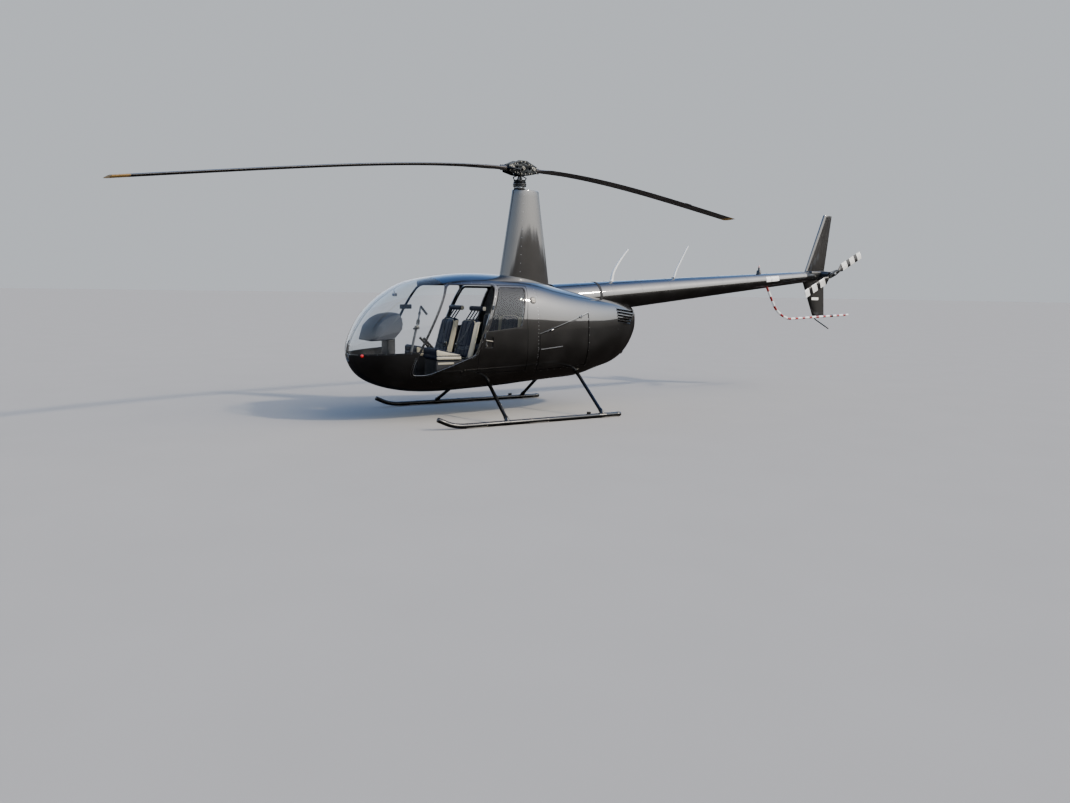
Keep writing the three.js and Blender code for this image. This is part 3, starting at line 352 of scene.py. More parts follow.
# Stage: pale floor, soft studio light with a bright sky above
stage = {
    "floor": 900,  # metres, so that its edge is at the horizon
    "floorColour": "#a8a59f", "floorBlotches": "#aeaba5", "blotch": 0.9,
    "floorMirroredShade": "#25211e",  # painted shade: the ground turns dark only in what the paint mirrors
    "backdrop": "#c9ced4",  # what the camera sees behind
    # sine of the height above the horizon and the colour there, for what the paint mirrors
    "sky": [(0.0, "#3a3531"), (0.04, "#2a2623"), (0.105, "#2e2a27"), (0.125, "#b9bcc0"),
            (0.25, "#a3afbf"), (0.5, "#6f8fb8"), (0.75, "#44679a"), (1.0, "#2c4f85")],
    "skyline": (0.115, 0.125), "unevenness": 5.0, "unevenHeight": 0.03,
    "skyStrength": 2.2, "skyMirrored": 3.4,
    "sun": (0.80, 0.72, 0.72),  # the way to it
    "sunStrength": 2.8, "sunWidth": 3, "sunColour": "#fff1de",  # width in degrees
    # bright air round the sun, between two cosines of the angle from it
    "haze": {"colour": "#fff6e8", "strength": 5.0, "from": 0.55, "to": 1.0, "power": 2.6},
}


def addFloor():
    reach = stage["floor"] / 2
    corners = [(-reach, -reach, 0), (reach, -reach, 0), (reach, reach, 0), (-reach, reach, 0)]
    material, tree, shader = newMaterial("pale studio floor", stage["floorColour"], 0.0, 0.9,
                                         {"Specular IOR Level": 0.0})
    tone = noise(tree, objectPoint(tree), stage["blotch"], 4)
    mix = mixColours(tree, tone.outputs[0], stage["floorColour"], stage["floorBlotches"])
    # Painted shade: glossy rays see the floor dark, as if the ground round the helicopter lay in shadow
    rays = addNode(tree, "ShaderNodeLightPath").outputs
    bounced = mathNode(tree, "SUBTRACT", rays["Is Glossy Ray"], rays["Is Transmission Ray"], True)
    seen = addNode(tree, "ShaderNodeMix", {"data_type": "RGBA"}, {0: bounced, 6: mix.outputs[2]})
    seen.inputs[7].default_value = linear(stage["floorMirroredShade"])
    tree.links.new(seen.outputs[2], shader.inputs["Base Color"])
    addMesh("floor", corners, [(0, 1, 2, 3)], material)


def addSky():
    world = bpy.data.worlds.new("softSky")
    bpy.context.scene.world = world
    world.use_nodes = True
    tree = world.node_tree
    rays = addNode(tree, "ShaderNodeLightPath").outputs
    direction = addNode(tree, "ShaderNodeTexCoord").outputs["Generated"]
    height = addNode(tree, "ShaderNodeSeparateXYZ", None, {0: direction})
    uneven = addNode(tree, "ShaderNodeTexNoise", {"Scale": stage["unevenness"], "Detail": 3},
                     {"Vector": direction})
    shift = ranged(tree, uneven.outputs[0], -stage["unevenHeight"], stage["unevenHeight"])
    raised = mathNode(tree, "ADD", height.outputs[2], shift)
    bands = ramp(tree, raised, [(position, linear(colour)) for position, colour in stage["sky"]])
    strength = ranged(tree, rays["Is Glossy Ray"], stage["skyStrength"], stage["skyMirrored"])
    mirrored = tree.nodes["Background"]
    tree.links.new(bands, mirrored.inputs[0])
    tree.links.new(strength, mirrored.inputs[1])
    haze = stage["haze"]
    nearSun = addNode(tree, "ShaderNodeVectorMath", {
        "operation": "DOT_PRODUCT", 1: Vector(stage["sun"]).normalized()}, {0: direction})
    fade = ranged(tree, nearSun.outputs["Value"], 0.0, 1.0, haze["from"], haze["to"])
    above = ranged(tree, raised, 0.0, 1.0, *stage["skyline"])
    glow = mathNode(tree, "MULTIPLY", mathNode(tree, "POWER", fade, haze["power"]), above)
    power = mathNode(tree, "MULTIPLY", glow, haze["strength"])
    aureole = addNode(tree, "ShaderNodeBackground", {0: linear(haze["colour"])}, {1: power})
    sky = addNode(tree, "ShaderNodeAddShader", None, {0: mirrored.outputs[0], 1: aureole.outputs[0]})
    behind = addNode(tree, "ShaderNodeBackground", {0: linear(stage["backdrop"])})
    looking = mathNode(tree, "MAXIMUM", rays["Is Camera Ray"], rays["Is Transmission Ray"])
    both = addNode(tree, "ShaderNodeMixShader", None, {0: looking, 1: sky.outputs[0], 2: behind.outputs[0]})
    tree.links.new(both.outputs[0], tree.nodes["World Output"].inputs["Surface"])


def addSun():
    data = bpy.data.lights.new("key", "SUN")
    data.energy = stage["sunStrength"]
    data.angle = math.radians(stage["sunWidth"])
    data.color = linear(stage["sunColour"])[:3]
    sun = linked("key", data)
    sun.rotation_euler = (-Vector(stage["sun"])).to_track_quat("-Z", "Y").to_euler()


# Mesh building
def addMesh(name, points, faces, material, sharpAngle=32):
    mesh = bpy.data.meshes.new(name)
    mesh.from_pydata([tuple(p) for p in points], [], faces)
    mesh.materials.append(material)
    piece = linked(name, mesh)
    smooth(piece, sharpAngle)
    return piece


def smooth(piece, sharpAngle=32):
    mesh = piece.data
    mesh.polygons.foreach_set("use_smooth", [True] * len(mesh.polygons))
    mesh.set_sharp_from_angle(angle=math.radians(sharpAngle))
    mesh.update()


def loftPoints(rings, startTip=None, endTip=None):
    # Closed skin through rings of equal counts, first ring to last; ends close on their middles
    rings = [np.asarray(ring, float) for ring in rings]
    count = len(rings[0])
    start = rings[0].mean(axis=0) if startTip is None else startTip
    end = rings[-1].mean(axis=0) if endTip is None else endTip
    points = np.vstack([np.reshape(start, (1, 3)), *rings, np.reshape(end, (1, 3))])
    last = len(points) - 1
    faces = []
    for k in range(count):
        after = (k + 1) % count
        faces.append((0, 1 + after, 1 + k))
        faces.append((last, last - count + k, last - count + after))
        for r in range(len(rings) - 1):
            a = 1 + r * count + k
            b = 1 + r * count + after
            faces.append((a, b, b + count, a + count))
    return points, faces


def volumeOf(points, faces):
    points = np.asarray(points)
    total = 0.0
    for face in faces:
        a = points[face[0]]
        for i in range(1, len(face) - 1):
            total += np.dot(a, np.cross(points[face[i]], points[face[i + 1]]))
    return total


def closedSkin(name, points, faces, material, sharpAngle=32):
    # A closed mesh with its faces turned outwards
    if volumeOf(points, faces) < 0:
        faces = [tuple(reversed(face)) for face in faces]
    return addMesh(name, points, faces, material, sharpAngle)


def prismFaces(count):
    # Faces between two outlines of equal count, and over both
    faces = [tuple(range(count)), tuple(reversed(range(count, 2 * count)))]
    return faces + [(i, i + count, (i + 1) % count + count, (i + 1) % count) for i in range(count)]


def loft(name, rings, material, startTip=None, endTip=None, sharpAngle=32):
    return closedSkin(name, *loftPoints(rings, startTip, endTip), material, sharpAngle)


def around(count):
    # The angles of a whole turn in even steps
    return np.linspace(0, 2 * math.pi, count, endpoint=False)


def tubePoints(path, radius, count):
    # Rings round a path; radius is one number or one for each point
    path = [Vector(p) for p in path]
    radii = [radius] * len(path) if np.isscalar(radius) else radius
    up = Vector((0, 0, 1)) if abs((path[1] - path[0]).normalized().z) < 0.9 else Vector((1, 0, 0))
    rings = []
    for i, (at, r) in enumerate(zip(path, radii)):
        along = (path[min(i + 1, len(path) - 1)] - path[max(i - 1, 0)]).normalized()
        up = (up - along * up.dot(along)).normalized()
        across = along.cross(up)
        rings.append([at + (up * math.cos(a) + across * math.sin(a)) * r for a in around(count)])
    return rings


def tube(name, path, radius, material, count=20, sharpAngle=40):
    return loft(name, tubePoints(path, radius, count), material, sharpAngle=sharpAngle)


def roundedPath(corners, bend, steps=8):
    # Corner points with each bend drawn as a quadratic arc
    corners = [Vector(c) for c in corners]
    points = [corners[0]]
    for before, corner, after in zip(corners, corners[1:], corners[2:]):
        start = corner.lerp(before, min(0.48, bend / (corner - before).length))
        end = corner.lerp(after, min(0.48, bend / (corner - after).length))
        for i in range(steps + 1):
            t = i / steps
            points.append((1 - t) ** 2 * start + 2 * t * (1 - t) * corner + t ** 2 * end)
    points.append(corners[-1])
    return points


def lathe(name, profile, axisAt, axis, material, count=48, sharpAngle=32):
    # profile is (distance along the axis, radius) pairs from one end to the other
    axis = Vector(axis).normalized()
    side = axis.orthogonal().normalized()
    other = axis.cross(side)
    rings = []
    for along, radius in profile:
        centre = Vector(axisAt) + axis * along
        rings.append([centre + (side * math.cos(a) + other * math.sin(a)) * max(radius, 1e-5)
                      for a in around(count)])
    return loft(name, rings, material, sharpAngle=sharpAngle)


def meshFrom(shape, name):
    mesh = bpy.data.meshes.new(name)
    shape.to_mesh(mesh)
    shape.free()
    return mesh


def roundedBox(name, middle, size, bevel, segments):
    shape = bmesh.new()
    bmesh.ops.create_cube(shape, size=1, matrix=Matrix.Translation(middle) @ Matrix.Diagonal((*size, 1)))
    if bevel:
        bmesh.ops.bevel(shape, geom=shape.edges[:], offset=bevel, segments=segments, profile=0.5,
                        affect="EDGES")
    return linked(name, meshFrom(shape, name))


def block(name, low, high, bevel, material, segments=3):
    # A box from corner to corner, in metres
    low, high = Vector(low), Vector(high)
    piece = roundedBox(name, (high + low) / 2, high - low, bevel, segments)
    piece.data.materials.append(material)
    smooth(piece)
    return piece


def bakeModifiers(piece):
    graph = bpy.context.evaluated_depsgraph_get()
    mesh = bpy.data.meshes.new_from_object(piece.evaluated_get(graph))
    piece.modifiers.clear()
    old = piece.data
    piece.data = mesh
    mesh.name = piece.name
    bpy.data.meshes.remove(old)


def combine(base, operation, *others, keep=False):
    # Boolean of whole solids. The others are used up unless keep is set.
    for other in others:
        modifier = base.modifiers.new("cut", "BOOLEAN")
        modifier.operation = operation
        modifier.solver = "MANIFOLD"
        modifier.object = other
    bakeModifiers(base)
    if not keep:
        for other in others:
            bpy.data.objects.remove(other)
    return base


def duplicate(piece, name):
    return linked(name, piece.data.copy())


def joinPieces(name, pieces):
    # One object from several, each keeping its own materials
    materials = []
    shape = bmesh.new()
    for piece in pieces:
        slots = [slot.material for slot in piece.material_slots]
        for material in slots:
            if material not in materials:
                materials.append(material)
        start = len(shape.faces)
        piece.data.transform(piece.matrix_world)
        shape.from_mesh(piece.data)
        shape.faces.ensure_lookup_table()
        for face in shape.faces[start:]:
            face.material_index = materials.index(slots[face.material_index])
    mesh = meshFrom(shape, name)
    for material in materials:
        mesh.materials.append(material)
    whole = linked(name, mesh)
    for piece in pieces:
        bpy.data.objects.remove(piece)
    return whole


def place(piece, body, slotName, *replaced):
    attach(piece, body)
    if replaced:
        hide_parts(*replaced)
    return piece


addFloor()
addSky()
addSun()
print("stage lit")


# Fuselage form, in millimetres
fuselage = {
    # y, top height, bottom height, half width, height of the widest place
    "rows": [
        (-2355, 869, 869, 0, 869), (-2330, 975, 735, 150, 868), (-2240, 1160, 584, 278, 875),
        (-2095, 1360, 477, 398, 890), (-1880, 1548, 398, 500, 915), (-1600, 1702, 350, 580, 945),
        (-1250, 1782, 336, 628, 975), (-850, 1824, 350, 640, 995), (-400, 1818, 371, 640, 1005),
        (0, 1775, 402, 630, 1010), (400, 1682, 428, 592, 1020), (800, 1605, 456, 522, 1040),
        (1150, 1545, 545, 440, 1075), (1450, 1505, 628, 350, 1115), (1680, 1454, 775, 255, 1155),
        (1830, 1399, 1015, 170, 1190), (1922, 1270, 1270, 0, 1270)],
    "roofPower": 2.9, "bellyPower": 2.6,
    "ringPoints": 128, "ringStep": 0.1,
    "cabinWall": 22, "cowlWall": 10, "glass": 6,
    "fit": 0.4, "doorGap": 6,
    "cabinEnd": -40, "cowlEnd": 810,
    "centreStrip": 24,  # half width of the strip between the windshields
    "axisZ": 1000,  # height that the cabin's walls face
    "corners": {"frontDoorway": 60, "rearDoor": 30, "rearWindow": 40, "sideCowl": 12},
}
openings = {
    "frontDoorway": [(-1238, 1668), (-1700, 724), (-1718, 590), (-1530, 592), (-938, 824), (-618, 1672)],
    "rearDoor": [(-590, 1668), (-898, 850), (-898, 600), (-205, 600), (-222, 1300), (-165, 1668)],
    "rearWindow": [(-568, 1642), (-778, 1107), (-305, 1162), (-276, 1309), (-200, 1642)],
    "windshield": [(-1264, 1660), (-1655, 858), (-2600, 815), (-2600, 1980), (-1365, 1980), (-1365, 1780)],
    "cowlLine": {"start": -26, "end": 784, "openEnd": 794, "height": 1064, "slope": 0.324, "foot": 600,
                 "endFoot": 640},
    "reach": 900,
}
fuselageRows = np.array(fuselage["rows"], float)


def fuselageRow(t):
    last = len(fuselageRows) - 1
    i = min(int(t), last - 1)
    f = t - i
    a, b, c, d = (fuselageRows[max(0, min(last, i + k))] for k in (-1, 0, 1, 2))
    return b + 0.5 * f * (c - a + f * (2 * a - 5 * b + 4 * c - d + f * (3 * (b - c) + d - a)))


def fuselageRing(t):
    y, top, bottom, half, wide = fuselageRow(t)
    angle = 2 * np.pi * (np.arange(fuselage["ringPoints"]) + 0.5) / fuselage["ringPoints"]
    c, s = np.cos(angle), np.sin(angle)
    power = np.where(s > 0, fuselage["roofPower"], fuselage["bellyPower"])
    reach = np.where(s > 0, top - wide, wide - bottom)
    return np.stack([half * np.sign(c) * np.abs(c) ** (2 / power), np.full_like(c, y),
                     wide + reach * np.sign(s) * np.abs(s) ** (2 / power)], axis=-1)


rowTable = np.array([fuselageRow(t) for t in np.linspace(0, len(fuselageRows) - 1, 1601)])


def skinX(y, z):
    # Half width of the fuselage in millimetres
    top, bottom, half, wide = (float(np.interp(y, rowTable[:, 0], rowTable[:, k])) for k in (1, 2, 3, 4))
    power = fuselage["roofPower"] if z > wide else fuselage["bellyPower"]
    reach = top - wide if z > wide else wide - bottom
    inside = 1 - (abs(z - wide) / max(reach, 1e-6)) ** power
    return half * max(inside, 0) ** (1 / power)


def fuselageSolid(name, inset, material):
    last = len(fuselageRows) - 1
    rings = np.array([fuselageRing(t) for t in np.arange(0.06, last - 0.05, fuselage["ringStep"])])
    around = np.roll(rings, -1, axis=1) - np.roll(rings, 1, axis=1)
    along = np.gradient(rings, axis=0)
    normal = np.cross(along, around)
    normal /= np.linalg.norm(normal, axis=2, keepdims=True)
    outward = np.sign(((rings - rings.mean(axis=1, keepdims=True)) * normal).sum(axis=2, keepdims=True))
    rings = rings - inset * normal * np.median(outward)
    tips = [np.array([0, fuselageRows[0][0] + inset, fuselageRows[0][1]]),
            np.array([0, fuselageRows[-1][0] - inset, fuselageRows[-1][1]])]
    scale = lambda p: np.asarray(p) / 1000 + np.array([0, mastY, 0])
    return loft(name, [scale(ring) for ring in rings], material, scale(tips[0]), scale(tips[1]))


def grown(outline, distance):
    # The outline moved outwards
    area = sum(a[0] * b[1] - b[0] * a[1] for a, b in zip(outline, outline[1:] + outline[:1]))
    out = math.copysign(distance, area)
    result = []
    for i, (y, z) in enumerate(outline):
        before, after = outline[i - 1], outline[(i + 1) % len(outline)]
        first = Vector((y - before[0], z - before[1])).normalized()
        second = Vector((after[0] - y, after[1] - z)).normalized()
        reach = out / (1 + first.dot(second))
        result.append((y + reach * (first.y + second.y), z - reach * (first.x + second.x)))
    return result


def roundedOutline(outline, radius, steps=6):
    if not radius:
        return list(outline)
    result = []
    corners = [Vector(c) for c in outline]
    for i, corner in enumerate(corners):
        before, after = corners[i - 1], corners[(i + 1) % len(corners)]
        start = corner.lerp(before, min(0.45, radius / (corner - before).length))
        end = corner.lerp(after, min(0.45, radius / (corner - after).length))
        for k in range(steps + 1):
            t = k / steps
            result.append(tuple((1 - t) ** 2 * start + 2 * t * (1 - t) * corner + t ** 2 * end))
    return result


def sidePrism(outline, fromX, toX, radius=0):
    # A cutter: a side-view outline pushed across from one x to another, all in millimetres
    ring = roundedOutline(outline, radius)
    points = [mm(x, y, z) for x in (fromX, toX) for y, z in ring]
    return closedSkin("cutter", points, prismFaces(len(ring)), looks["enamel"])


def acrossSide(outline, side, inner=0, radius=0):
    ends = sorted((side * inner, side * openings["reach"]))
    return sidePrism(outline, ends[0], ends[1], radius)


def slabCutter(fromY, toY):
    return block("cutter", mm(-3000, fromY, -3000), mm(3000, toY, 3000), 0, looks["enamel"])


def cowlOutline(endY):
    line = openings["cowlLine"]
    return [(line["start"], line["height"] + line["slope"] * line["start"]),
            (endY, line["height"] + line["slope"] * endY), (endY, line["endFoot"]),
            (line["start"], line["foot"])]


def lineInside(piece):
    # Faces that look into the cabin get the liner's finish
    def inwards(middle, normal):
        outwards = Vector((middle[0], 0, middle[2] - fuselage["axisZ"])).normalized()
        return normal.dot(outwards) < -0.25 and middle[1] < fuselage["cabinEnd"] - 5

    paintFaces(piece, looks["liner"], inwards)


hinges = {
    "rearDoor": {"knuckles": [(655, -828, 1050), (628, -696, 1400)], "panelArm": (-25, 15, 0),
                 "frameArm": (-25, -15, 0)},
    "sideCowl": {"knuckles": [(632, 150, 1116), (551, 650, 1278)], "panelArm": (-18, 0, -26),
                 "frameArm": (-31, 0, 26)},
    "half": 12, "reach": 26, "radius": 7, "armRadius": 5,
}


def hingeSolids(hinge, side, forPanel):
    # Knuckles and arms of one hinge line, those on the panel or those on the frame
    low, high = (Vector((side * x, y, z)) for x, y, z in hinges[hinge]["knuckles"])
    along = (high - low).normalized()
    solids = []
    for point in (low, high):
        if forPanel:
            runs = [(-hinges["half"], hinges["half"])]
            arms = [0]
        else:
            runs = [(-hinges["reach"], -hinges["half"] - fuselage["fit"]),
                    (hinges["half"] + fuselage["fit"], hinges["reach"])]
            arms = [-(hinges["half"] + hinges["reach"]) / 2, (hinges["half"] + hinges["reach"]) / 2]
        armReach = Vector(hinges[hinge]["panelArm" if forPanel else "frameArm"])
        armReach.x *= side
        armReach -= along * armReach.dot(along)
        for start, end in runs:
            solids.append(tube("knuckle", [mm(*(point + along * start)), mm(*(point + along * end))],
                               hinges["radius"] / 1000, looks["enamel"], 20))
        for at in arms:
            foot = point + along * at
            solids.append(tube("arm", [mm(*foot), mm(*(foot + armReach))], hinges["armRadius"] / 1000,
                               looks["enamel"], 16))
    return solids


landingGear = {
    "skidX": 1045, "skidZ": 33, "skidRadius": 30, "heel": 966, "toeStart": -1420, "toe": (-1637, 132),
    "toeBend": 170, "tubeRadius": 23, "tubeBend": 50, "straightX": 330, "kneeX": 430,
    # foot y, body y, body z, height of the straight across
    "crossTubes": {"front": (-726, -640, 405, 455), "rear": (672, 699, 500, 548)},
    "shoes": [(-1280, -1000), (-420, -140), (660, 940)], "shoeHalf": 22, "shoeTop": 10,
    "lugY": 463, "lugTop": 92,
    "sleeve": [(18, 27.5), (62, 27.5), (72, 24.5)],  # distance up the leg, radius
    "saddles": [(52, 1.0), (30, 2.5)],  # half length, how far proud of the skid
    "socket": (31, 29),
    "cap": 12, "capStart": 8, "capRadii": (0.45, 0.86),  # rounding of the skid's ends
}


def crossTubePath(which):
    footY, bodyY, bodyZ, acrossZ = landingGear["crossTubes"][which]
    x, z = landingGear["skidX"], landingGear["skidZ"] + landingGear["skidRadius"]
    half = [(landingGear["straightX"], bodyY, acrossZ), (landingGear["kneeX"], bodyY, bodyZ), (x, footY, z)]
    other = [(-px, py, pz) for px, py, pz in reversed(half)]
    return [mm(*p) for p in other + half]


def crossTubeSolid(which, extra, material):
    path = roundedPath(crossTubePath(which), landingGear["tubeBend"] / 1000)
    return tube(which, path, (landingGear["tubeRadius"] + extra) / 1000, material, 32)


cone = {"frontY": 500, "frontR": 236, "frontZ": 1473, "endY": 5460, "endR": 91, "endZ": 1907}


def conePoint(y):
    t = (y - cone["frontY"]) / (cone["endY"] - cone["frontY"])
    return (cone["frontR"] + t * (cone["endR"] - cone["frontR"]),
            cone["frontZ"] + t * (cone["endZ"] - cone["frontZ"]))


def coneSolid(name, inset, material, fromY=None, toY=None, count=96):
    fromY = cone["frontY"] if fromY is None else fromY
    toY = cone["endY"] if toY is None else toY
    stations = np.linspace(fromY, toY, 9)
    path = [mm(0, y, conePoint(y)[1]) for y in stations]
    return tube(name, path, [(conePoint(y)[0] - inset) / 1000 for y in stations], material, count)


mastRadius = 60


def mastSolid(extra, fromZ, toZ):
    return tube("mast", [mm(0, 0, fromZ), mm(0, 0, toZ)], (mastRadius + extra) / 1000, looks["aluminium"], 48)


lamp = {"z": 788, "radius": 42, "holeY": (-2500, -2200)}
louvre = {"count": 5, "lowZ": 1206, "pitch": 40, "high": 22, "drop": 44, "frontY": 1382, "aftY": 1700,
          "aftStep": 20, "innerX": 60}


def louvreSlot(i):
    z = louvre["lowZ"] + i * louvre["pitch"]
    aftY = louvre["aftY"] + i * louvre["aftStep"]
    low = z - louvre["drop"]
    return [(louvre["frontY"], z), (louvre["frontY"], z + louvre["high"]), (aftY, low + louvre["high"]),
            (aftY, low)]


def cutFrom(skin, name, area):
    return combine(duplicate(skin, name), "INTERSECT", area)


def commonHoles():
    # Where the mast and the cross tubes pass through the skin
    tubes = [crossTubeSolid(which, 2 * fuselage["fit"], looks["enamel"]) for which in ("front", "rear")]
    return [mastSolid(fuselage["fit"], 1500, 2100)] + tubes


def buildPane(glassSkin, name, area, body, node):
    pane = cutFrom(glassSkin, name, area)
    pane.data.materials.clear()
    pane.data.materials.append(looks["acrylic"])
    smooth(pane)
    place(pane, body, "clear_acrylic", node)


def buildCabin(cabinSkin, glassSkin):
    fit, corners = fuselage["fit"], fuselage["corners"]
    shell = cutFrom(cabinSkin, "cabinShell", slabCutter(-3000, fuselage["cabinEnd"] - fit))
    holes = commonHoles()
    holes.append(tube("lampHole", [mm(0, y, lamp["z"]) for y in lamp["holeY"]],
                      (lamp["radius"] + fit) / 1000, looks["enamel"], 48))
    for side in sides.values():
        holes.append(acrossSide(grown(openings["windshield"], fit), side, fuselage["centreStrip"] - fit))
        holes.append(acrossSide(openings["frontDoorway"], side, 0, corners["frontDoorway"]))
        holes.append(acrossSide(grown(openings["rearDoor"], fuselage["doorGap"]), side, 0,
                                corners["rearDoor"]))
    combine(shell, "DIFFERENCE", *holes)
    for side in sides.values():
        combine(shell, "UNION", *hingeSolids("rearDoor", side, False))
    smooth(shell)
    lineInside(shell)
    place(shell, "airframe", "black_paint", "cabin_shell")

    for name, side in sides.items():
        buildPane(glassSkin, f"windshieldPane_{name}",
                  acrossSide(openings["windshield"], side, fuselage["centreStrip"]),
                  "airframe", f"windshield_{name}")
        buildPane(glassSkin, f"rearPane_{name}",
                  acrossSide(openings["rearWindow"], side, 0, corners["rearWindow"]),
                  f"rear_door_{name}", f"rear_window_{name}")
        door = cutFrom(cabinSkin, f"rearDoorPanel_{name}",
                       acrossSide(openings["rearDoor"], side, 0, corners["rearDoor"]))
        window = acrossSide(grown(openings["rearWindow"], fit), side, 0, corners["rearWindow"])
        combine(door, "DIFFERENCE", window)
        combine(door, "DIFFERENCE", skinPatch("pocket", trim["latch"], side, 6, 18, looks["enamel"], 14))
        combine(door, "UNION", *hingeSolids("rearDoor", side, True))
        smooth(door)
        lineInside(door)
        place(door, f"rear_door_{name}", "black_paint", f"rear_door_{name}")
    print("cabin, doors and panes built")


def buildCowls(cowlSkin):
    fit = fuselage["fit"]
    cowls = cutFrom(cowlSkin, "cowls", slabCutter(fuselage["cabinEnd"] + fit, 3000))
    coneHole = coneSolid("coneHole", -fit, looks["enamel"], cone["frontY"] - 100, cone["endY"])
    combine(cowls, "DIFFERENCE", coneHole, *commonHoles())
    forward = cutFrom(cowls, "upperCowl", slabCutter(fuselage["cabinEnd"], fuselage["cowlEnd"] - fit))
    for name, side in sides.items():
        panel = cutFrom(forward, f"sideCowlPanel_{name}",
                        acrossSide(cowlOutline(openings["cowlLine"]["end"]), side, 0,
                                   fuselage["corners"]["sideCowl"]))
        combine(panel, "UNION", *hingeSolids("sideCowl", side, True))
        smooth(panel)
        place(panel, f"side_cowl_{name}", "black_paint", f"side_cowl_{name}")
    for side in sides.values():
        opening = grown(cowlOutline(openings["cowlLine"]["openEnd"]), fuselage["doorGap"])
        combine(forward, "DIFFERENCE", acrossSide(opening, side))
        combine(forward, "UNION", *hingeSolids("sideCowl", side, False))
    smooth(forward)
    place(forward, "airframe", "black_paint", "upper_cowl")

    tailCowl = cutFrom(cowls, "tailCowl", slabCutter(fuselage["cowlEnd"], 3000))
    slots = [acrossSide(louvreSlot(i), side, louvre["innerX"], 3)
             for side in sides.values() for i in range(louvre["count"])]
    combine(tailCowl, "DIFFERENCE", *slots)
    smooth(tailCowl)
    place(tailCowl, "airframe", "black_paint", "tail_cowl")
    bpy.data.objects.remove(cowls)
    print("cowls built")


def buildFuselage():
    outer = fuselageSolid("outer", 0, looks["enamel"])
    skins = []
    for wall, lining in (("cabinWall", "liner"), ("glass", "acrylic"), ("cowlWall", "enamel")):
        inner = fuselageSolid("inner", fuselage[wall], looks[lining])
        skins.append(combine(duplicate(outer, f"{wall}Skin"), "DIFFERENCE", inner))
    cabinSkin, glassSkin, cowlSkin = skins
    buildCabin(cabinSkin, glassSkin)
    buildCowls(cowlSkin)
    for leftover in (outer, *skins):
        bpy.data.objects.remove(leftover)


# Small helpers in millimetres
def bentTube(name, corners, bend, radius, material, count=24):
    path = [mm(*corner) for corner in corners]
    if bend:
        path = roundedPath(path, bend / 1000)
    return tube(name, path, radius / 1000, material, count)


def roundBar(name, start, end, radius, material, count=24, endRadius=None):
    radii = [radius / 1000, (radius if endRadius is None else endRadius) / 1000]
    return tube(name, [mm(*start), mm(*end)], radii, material, count)


def spun(name, profile, at, axis, material, count=48):
    # A lathed piece: profile is (distance along the axis, radius) in millimetres, at is in metres
    return lathe(name, [(along / 1000, radius / 1000) for along, radius in profile], at, axis, material, count)


def turned(name, profile, axisAt, axis, material, count=48):
    # The same with its place in airframe millimetres
    return spun(name, profile, mm(*axisAt), axis, material, count)


def skinNormal(y, z, side):
    step = 2.0
    slopeY = (skinX(y + step, z) - skinX(y - step, z)) / (2 * step)
    slopeZ = (skinX(y, z + step) - skinX(y, z - step)) / (2 * step)
    return Vector((side, -slopeY, -slopeZ)).normalized()


def onSkin(y, z, side, lift=0.0):
    # A point on the fuselage in the part's frame, and the way out of it
    out = skinNormal(y, z, side)
    return mm(side * skinX(y, z), y, z) + out * lift / 1000, out


def spread(outline, spacing, closed=True):
    # Points along an outline of (y, z) corners, about the spacing apart
    ends = list(outline) + ([outline[0]] if closed else [])
    points = []
    for start, end in zip(ends, ends[1:]):
        length = math.dist(start, end)
        count = max(1, round(length / spacing))
        points += [tuple(np.add(start, np.subtract(end, start) * i / count)) for i in range(count)]
    return points if closed else points + [ends[-1]]


def ribbon(name, path, normals, width, thick, material, closed=False, sink=0.0):
    # A flat strip along a path, its inner face on the path; sizes in millimetres
    half, low, high = width / 2000, -sink / 1000, thick / 1000
    chamfer = min(thick, width) / 4000
    section = [(-half, low), (half, low), (half, high - chamfer), (half - chamfer, high),
               (-half + chamfer, high), (-half, high - chamfer)]
    rings = []
    count = len(path)
    for i in range(count):
        after = path[(i + 1) % count] if closed else path[min(i + 1, count - 1)]
        before = path[i - 1] if closed else path[max(i - 1, 0)]
        along = (after - before).normalized()
        out = (normals[i] - along * normals[i].dot(along)).normalized()
        across = along.cross(out)
        rings.append([path[i] + across * a + out * b for a, b in section])
    if not closed:
        return loft(name, rings, material)
    size = len(section)
    faces = []
    for i in range(count):
        for k in range(size):
            after = (k + 1) % size
            here, there = i * size, (i + 1) % count * size
            faces.append((here + k, here + after, there + after, there + k))
    return closedSkin(name, [p for ring in rings for p in ring], faces, material)


def skinRibbon(name, outline, side, width, thick, material, radius=0, closed=True, sink=1.0, spacing=25):
    ring = spread(roundedOutline(outline, radius) if radius else outline, spacing, closed)
    spots = [onSkin(y, z, side) for y, z in ring]
    return ribbon(name, [p for p, _ in spots], [n for _, n in spots], width, thick, material, closed, sink)


def skinPatch(name, outline, side, lift, thick, material, radius=8):
    # A small plate that lies on the fuselage
    ring = roundedOutline(outline, radius)
    points = [onSkin(y, z, side, height)[0] for height in (lift, lift - thick) for y, z in ring]
    return closedSkin(name, points, prismFaces(len(ring)), material)


def easeEdges(piece, width, segments, fromAngle=30):
    edge = piece.modifiers.new("ease", "BEVEL")
    edge.width = width / 1000
    edge.segments = segments
    edge.limit_method = "ANGLE"
    edge.angle_limit = math.radians(fromAngle)
    bakeModifiers(piece)


def plate(name, outline, thick, matrix, material, ease, holes=()):
    # A flat plate: outline of (x, z) corners pushed along y, placed by a matrix; holes are (x, z, radius)
    points = [metres(x, y, z) for y in (0, thick) for x, z in outline]
    piece = closedSkin(name, points, prismFaces(len(outline)), material)
    drills = [tube("drill", [metres(x, -5, z), metres(x, thick + 5, z)], r / 1000, material, 32)
              for x, z, r in holes]
    combine(piece, "DIFFERENCE", *drills)
    easeEdges(piece, ease, 2)
    piece.data.transform(matrix)
    smooth(piece)
    return piece


